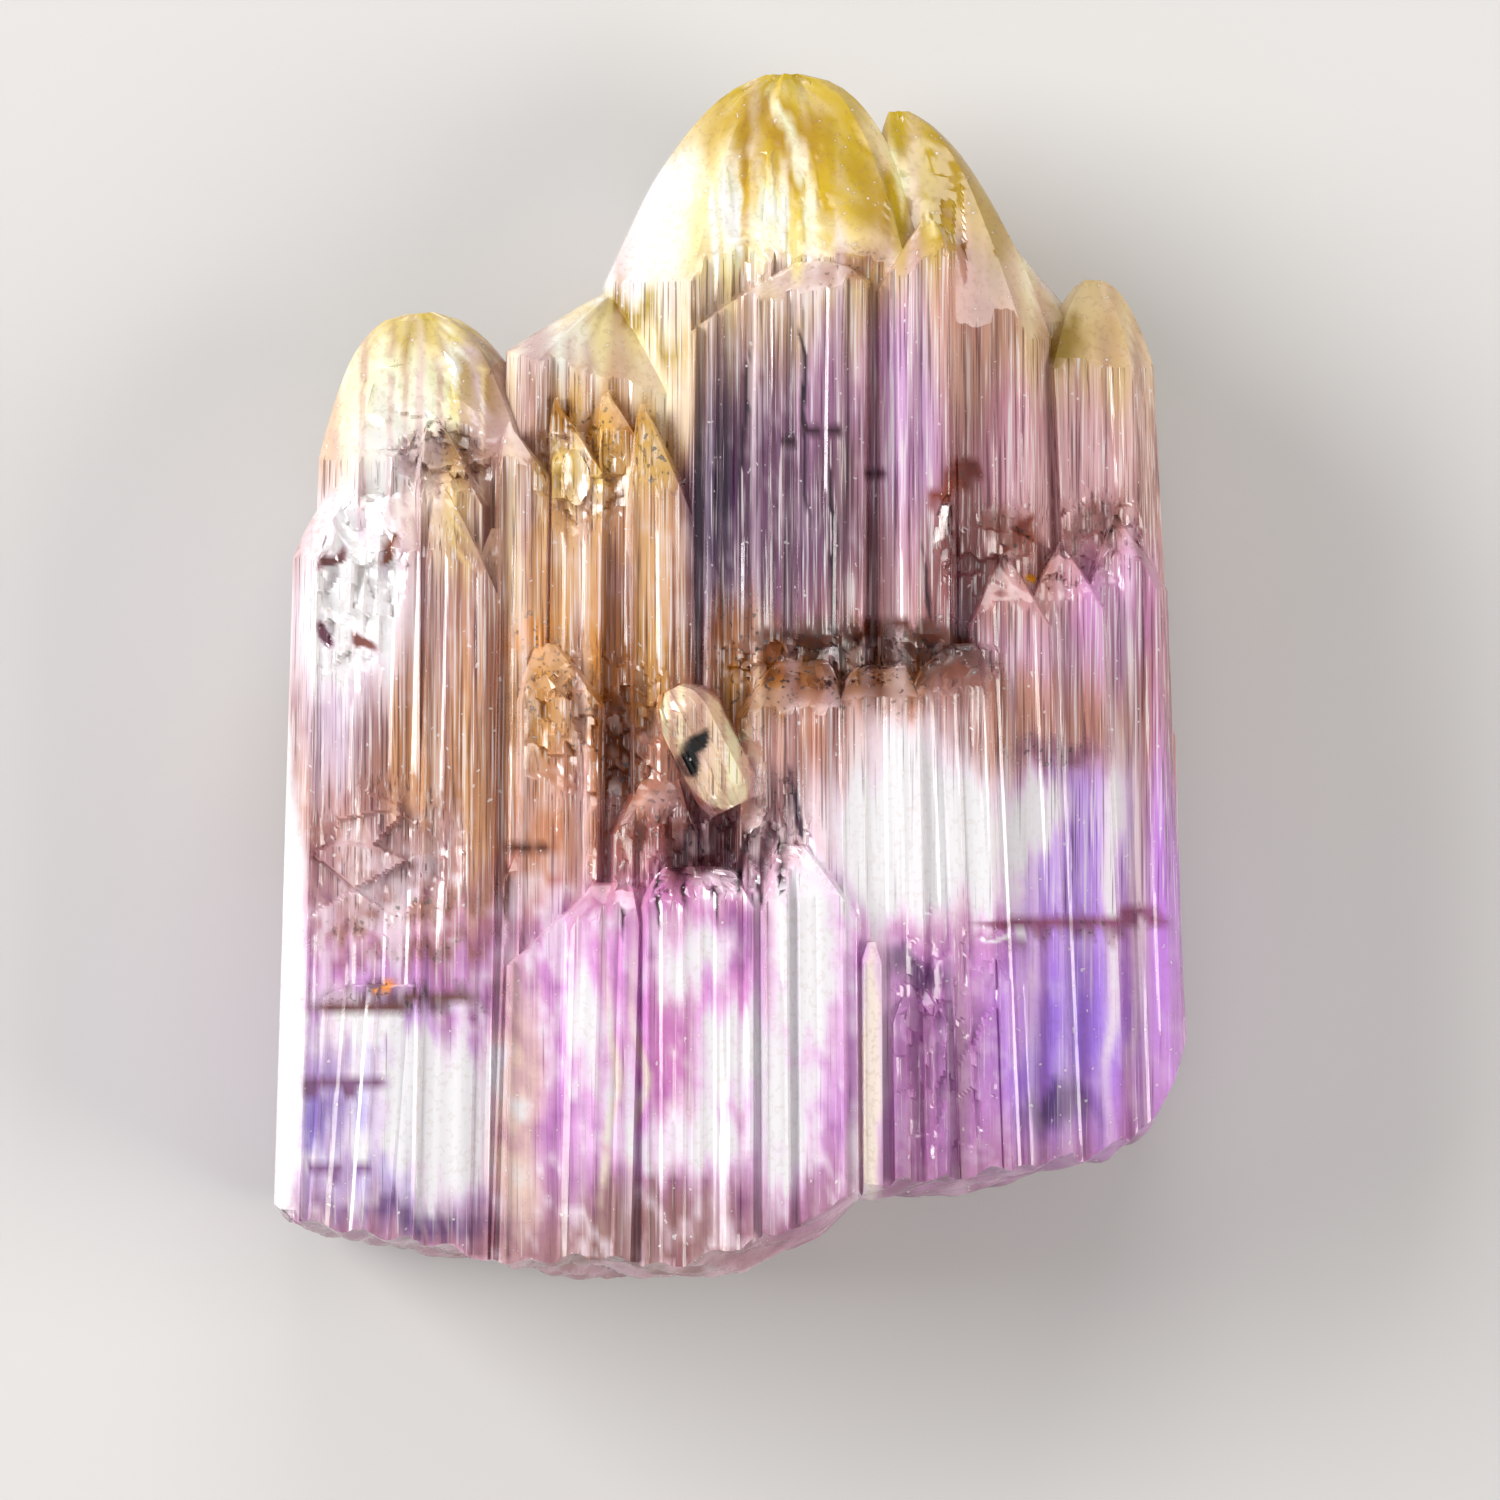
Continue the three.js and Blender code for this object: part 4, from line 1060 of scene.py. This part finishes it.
# %% Helpers for laying on colour
def light_value(colour):
    """Screen colour from 0 to 255 as light, which is what shaders add up."""
    share = np.array(colour) / 255
    return np.where(share <= 0.04045, share / 12.92, ((share + 0.055) / 1.055) ** 2.4)


def laid(under, colour, share):
    """Covers the colour under it by a share for each point."""
    return mix(under, light_value(colour), share[:, None])


def shaded(under, colour, share):
    """Filters the colour under it by a share for each point."""
    return under * mix(1, light_value(colour), share[:, None])


print("light of a mid grey:", light_value((128, 128, 128)).round(3))

# %% Noise over the front
px, py, pz = (points - shift).T
normals = read_points(crystal.data, "normal")


def mottle(width, length, seed):
    """Noise over the front, with lumps this wide and this long in mm."""
    return grain(px / width, py / length, seed)


print("points to colour:", len(points))

# %% The patches
# How much of each ellipse is its soft edge: broad zones melt into each other, marks are crisp.
PATCH_SOFTNESS = 0.7
STAIN_SOFTNESS = 0.6
MARK_SOFTNESS = 0.3

on_base = ramp(-normals[:, 1], 0.45, 0.75) * ramp(py, -8.5, -9.0)
streaks = (mottle(0.22, 6.0, 40) - 0.5) * (1 - on_base)
fibres = (mottle(0.1, 3.0, 41) - 0.5) * (1 - on_base)
wander = mottle(1.3, 1.3, 42) - 0.5
moved_x = px + 0.5 * wander
moved_y = py + 0.7 * streaks + 0.5 * fibres + 0.8 * (mottle(1.1, 1.1, 43) - 0.5)
levels, hues = zip(*ALONG_THE_BUNDLE)
hue_lights = np.array([light_value(hue) for hue in hues])
paint = np.column_stack([np.interp(moved_y, levels, hue_lights[:, k]) for k in range(3)])
for colour, at, radii, turn, strength in PATCHES:
    share = strength * inside(moved_x, moved_y, at, radii, turn, PATCH_SOFTNESS)
    paint = laid(paint, colour, share)
print("colour of the patches:", paint.mean(axis=0).round(3))

# %% The stains and the askew crystal
ASKEW_COLOUR = (246, 232, 204)
ASKEW_RADII = (0.72, 1.36)
ASKEW_UNDERSIDE = 7.15
# Heights in mm between which the front begins
FRONT_STARTS = (4.6, 5.6)

on_front = ramp(pz, *FRONT_STARTS)
stain_x = px + 0.35 * wander
stain_y = py + 0.5 * streaks + 0.25 * fibres
dirt = np.zeros(len(points))
for colour, at, radii, turn, strength in STAINS:
    share = strength * on_front * inside(stain_x, stain_y, at, radii, turn, STAIN_SOFTNESS)
    paint = laid(paint, colour, share)
    dirt = np.maximum(dirt, share)
askew_share = inside(px, py, ASKEW["centre"][:2], ASKEW_RADII, ASKEW["turn"], soft=0.05)
askew_share = askew_share * (pz > ASKEW_UNDERSIDE)
paint = laid(paint, ASKEW_COLOUR, askew_share)
dirt = dirt * (1 - askew_share)
print("stained share of the points:", round(float((dirt > 0.3).mean()), 3))

# %% Veils
# Milky white, both for the real milky veils and for the painted glow of light that shines through the stone
MILKY_AND_GLOW = (255, 248, 255)
LILAC = (190, 150, 196)

veil = 0.4 * mottle(0.5, 0.6, 46) + 0.35 * mottle(0.22, 0.3, 51) + 0.25 * mottle(0.12, 0.16, 52)
in_foot = mix(0.35, 1, ramp(py, -2.5, -4.5)) * mix(1, 0.3, ramp(px, 2.2, 3.2)) * (1 - on_base)
paint = laid(paint, MILKY_AND_GLOW, 0.55 * in_foot * ramp(veil, 0.52, 0.72))
paint = shaded(paint, LILAC, 0.4 * in_foot * ramp(veil, 0.46, 0.28))
print("mean colour with the veils:", paint.mean(axis=0).round(3))

# %% The chipped base, streaks and bars
PALE_CHIP = (246, 226, 236)
DULL_CHIP = (176, 140, 150)
PALE_STREAK = (250, 240, 244)
DARK_STREAK = (176, 124, 140)
BROWN_BAR = (150, 108, 122)

chipped = 0.6 * grain(px / 1.1, pz / 0.8, 53) + 0.4 * grain(px / 0.35, pz / 0.3, 54)
paint = laid(paint, PALE_CHIP, 0.5 * on_base * ramp(chipped, 0.5, 0.8))
paint = shaded(paint, DULL_CHIP, 0.6 * on_base * ramp(chipped, 0.45, 0.2))
paint = laid(paint, PALE_STREAK, 0.3 * (1 - on_base) * ramp(mottle(0.24, 7.0, 47), 0.55, 0.9))
bars = 0.45 * ramp(mottle(0.14, 5.0, 49), 0.5, 0.62) * ramp(py, 8.5, 6.0)
bars = bars * mix(0.35, 1, ramp(py, -4.5, -1.5)) * (1 - on_base)
paint = shaded(paint, BROWN_BAR, bars)
paint = shaded(paint, DARK_STREAK, 0.35 * (1 - on_base) * ramp(mottle(0.28, 8.0, 48), 0.5, 0.9))
print("mean colour with streaks and bars:", paint.mean(axis=0).round(3))

# %% Painted glows and marks
# Painted glow: milky white laid on the places of the table above, standing for light that shines through
# the stone
painted_glow = np.zeros(len(points))
for at, radii, strength in PAINTED_GLOWS:
    share = strength * inside(moved_x, moved_y + 0.8 * (veil - 0.5), at, radii, 0, STAIN_SOFTNESS)
    painted_glow = np.maximum(painted_glow, share)
    paint = laid(paint, MILKY_AND_GLOW, share)
mark_x = px + 0.12 * (mottle(0.4, 0.4, 44) - 0.5) + 0.1 * wander
mark_y = py + 0.3 * (mottle(0.3, 0.3, 45) - 0.5)
marked = np.zeros(len(points))
for colour, at, radii, turn in MARKS:
    share = on_front * inside(mark_x, mark_y, at, radii, turn, MARK_SOFTNESS)
    marked = np.maximum(marked, share)
    paint = laid(paint, colour, share)
print("marked share of the points:", round(float((marked > 0.5).mean()), 3))

# %% Into the mesh
# The clear share of the stone carries no colour, so the painted share carries more.
RICHER = 1.3
BRIGHTER = 1.2
CONTRAST = 1.2
DARKEST, LIGHTEST = 0.001, 0.97
GREY_SHARES = np.array([0.2126, 0.7152, 0.0722])

brightness = paint @ GREY_SHARES
paint = np.clip(mix(brightness[:, None], paint, RICHER), 2 * DARKEST, 1)
paint = np.clip(BRIGHTER * paint ** CONTRAST, DARKEST, LIGHTEST)
# Hairlines run only on the faces along the bundle, fewer in the foot, not across marks, and fainter under
# the painted glow.
lined = (1 - ramp(np.abs(normals[:, 1]), 0.15, 0.4)) * mix(1, 0.55, ramp(py, -3.5, -5.0))
lined = lined * (1 - marked) * (1 - 0.6 * painted_glow)


def keep_on_points(name, kind, field, values):
    """Stores one value for each point of the crystal as an attribute."""
    layer = crystal.data.attributes.new(name, kind, "POINT")
    layer.data.foreach_set(field, values.ravel())


keep_on_points("zones", "FLOAT_COLOR", "color", np.column_stack([paint, np.ones(len(points))]))
keep_on_points("dirt", "FLOAT", "value", dirt)
keep_on_points("lined", "FLOAT", "value", lined)
print("mean colour in the mesh:", paint.mean(axis=0).round(3))

# %% [markdown]
# ## The stone's material
#
# Tanzanite is clear and bends light strongly (1.69), but this piece is milky with veils and its
# skin is stained, so light is partly scattered back. One Principled shader does both: its plain
# transmission weight is the clear share, and the rest is a matt skin in the zoned colour. A pale
# violet absorption deepens the colour where the stone is thick.

# %% A short way to write nodes
stone = bpy.data.materials.new("rough_tanzanite")
stone.use_nodes = True
tree = stone.node_tree
shader = tree.nodes["Principled BSDF"]
output = tree.nodes["Material Output"]


def add(kind, inputs=None, **settings):
    """A node with its settings made, and each input joined to a socket or set to a value."""
    node = tree.nodes.new(kind)
    for name, value in settings.items():
        setattr(node, name, value)
    for name, value in (inputs or {}).items():
        if isinstance(value, bpy.types.NodeSocket):
            tree.links.new(value, node.inputs[name])
        else:
            node.inputs[name].default_value = value
    return node


def maths(operation, *values, clamp=False):
    node = add("ShaderNodeMath", dict(enumerate(values)), operation=operation, use_clamp=clamp)
    return node.outputs[0]


def rise(value, low, high, top=1.0):
    """0 below low and top above high, smoothly."""
    inputs = {"Value": value, "From Min": low, "From Max": high, "To Max": top}
    return add("ShaderNodeMapRange", inputs, interpolation_type="SMOOTHSTEP").outputs["Result"]


def tinted(share, under, over, blend="MIX"):
    """The under colour with the over colour laid on it by a share."""
    node = add("ShaderNodeMix", {0: share, 6: under, 7: over}, data_type="RGBA", blend_type=blend)
    return node.outputs[2]


def screen(*colour):
    return (*light_value(colour), 1.0)


print("nodes to begin with:", [node.name for node in tree.nodes])

# %% Places in millimetres
place = add("ShaderNodeTexCoord").outputs["Object"]
place = add("ShaderNodeVectorMath", {0: place, 3: 1 / MM}, operation="SCALE").outputs[0]
place = add("ShaderNodeVectorMath", {0: place, 1: tuple(shift)}, operation="SUBTRACT").outputs[0]


def stretched_noise(across, along, seed, detail=2.0):
    """Noise whose lumps are this wide and this long in mm."""
    stretch = (1 / across, 1 / along, 0.6 / across)
    offset = (7.3 * seed, 3.1 * seed, 1.7 * seed)
    spot = add("ShaderNodeVectorMath", {0: place, 1: stretch}, operation="MULTIPLY").outputs[0]
    spot = add("ShaderNodeVectorMath", {0: spot, 1: offset}, operation="ADD").outputs[0]
    inputs = {"Vector": spot, "Scale": 1.0, "Detail": detail, "Roughness": 0.6}
    return add("ShaderNodeTexNoise", inputs).outputs["Fac"]


print("nodes that find the place:", len(tree.nodes) - 2)

# %% [markdown]
# ## Hairlines, pits and specks
#
# Hair-fine light and dark lines run along every prism. They are noise stretched to sixty times its
# width, which breaks off and begins again as real striations do. The sloping tips and the broken
# base have none, and are dotted with small pits instead. Glints are painted highlights, white dots
# for chips that catch the light, and dark specks sit only where the steps are dirty.

# %% The two kinds of noise
# All in mm
HAIRLINE_WIDTH = 0.048
HAIRLINE_LENGTH = 3.0
PIT_WIDTH = 0.12
PIT_LENGTH = 0.14

zone_colour = add("ShaderNodeAttribute", attribute_name="zones").outputs["Color"]
dirt_share = add("ShaderNodeAttribute", attribute_name="dirt").outputs["Fac"]
lined_share = add("ShaderNodeAttribute", attribute_name="lined").outputs["Fac"]
hairlines = stretched_noise(HAIRLINE_WIDTH, HAIRLINE_LENGTH, seed=1)
hairlines = maths("ADD", 0.5, maths("MULTIPLY", maths("SUBTRACT", hairlines, 0.5), lined_share))
skin = stretched_noise(PIT_WIDTH, PIT_LENGTH, seed=4, detail=1.0)
print("hairlines are longer than wide by:", HAIRLINE_LENGTH / HAIRLINE_WIDTH)

# %% The finer colour
PALE_LINE = screen(252, 246, 244)
DARK_LINE = screen(104, 66, 84)
PIT_COLOUR = screen(196, 172, 140)
PAINTED_GLINT_COLOUR = screen(255, 252, 250)
SPECK_COLOUR = screen(40, 22, 16)

frosted = maths("MULTIPLY", maths("SUBTRACT", 1.0, lined_share), 0.25)
pits = maths("MULTIPLY", rise(skin, 0.52, 0.66), frosted)
specks = maths("MULTIPLY", rise(skin, 0.61, 0.69), dirt_share, clamp=True)
colour = tinted(rise(hairlines, 0.54, 0.66, top=0.7), zone_colour, PALE_LINE)
colour = tinted(rise(hairlines, 0.46, 0.34, top=0.7), colour, DARK_LINE, "MULTIPLY")
colour = tinted(pits, colour, PIT_COLOUR, "MULTIPLY")
# Painted glints: white dots where the pit noise is highest, standing for chips that catch the light
colour = tinted(rise(skin, 0.72, 0.76, top=0.6), colour, PAINTED_GLINT_COLOUR)
colour = tinted(specks, colour, SPECK_COLOUR)
tree.links.new(colour, shader.inputs["Base Color"])
print("nodes so far:", len(tree.nodes))

# %% [markdown]
# ## Gloss, fine striation and clearness
#
# The faces are glossy, and duller where they are pitted or dirty. The finest striations, a few
# hundredths of a millimetre apart, are too fine for the mesh, so they are a bump. The
# transmission, index and absorption are single values, because they are the same through the
# whole stone.

# %% Gloss, bump and the clear inside
CLEAR_SHARE = 0.45
ZOISITE_INDEX = 1.69
ABSORPTION_PER_METRE = 40.0
HAIRLINE_DEPTH = 0.02  # mm

roughness = maths("ADD", 0.12, rise(skin, 0.45, 0.75, top=0.14))
roughness = maths("ADD", roughness, maths("MULTIPLY", dirt_share, 0.35), clamp=True)
tree.links.new(roughness, shader.inputs["Roughness"])
bump_inputs = {"Height": hairlines, "Strength": 0.45, "Distance": HAIRLINE_DEPTH * MM}
bump = add("ShaderNodeBump", bump_inputs)
tree.links.new(bump.outputs["Normal"], shader.inputs["Normal"])
shader.inputs["Transmission Weight"].default_value = CLEAR_SHARE
shader.inputs["IOR"].default_value = ZOISITE_INDEX
absorption = {"Color": screen(222, 196, 240), "Density": ABSORPTION_PER_METRE}
inside_stone = add("ShaderNodeVolumeAbsorption", absorption)
tree.links.new(inside_stone.outputs["Volume"], output.inputs["Volume"])
crystal.data.materials.clear()
crystal.data.materials.append(stone)
print("nodes in the material:", len(tree.nodes))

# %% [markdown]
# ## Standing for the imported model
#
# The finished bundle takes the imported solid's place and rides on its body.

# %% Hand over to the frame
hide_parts(NODE)
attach(crystal, "root")
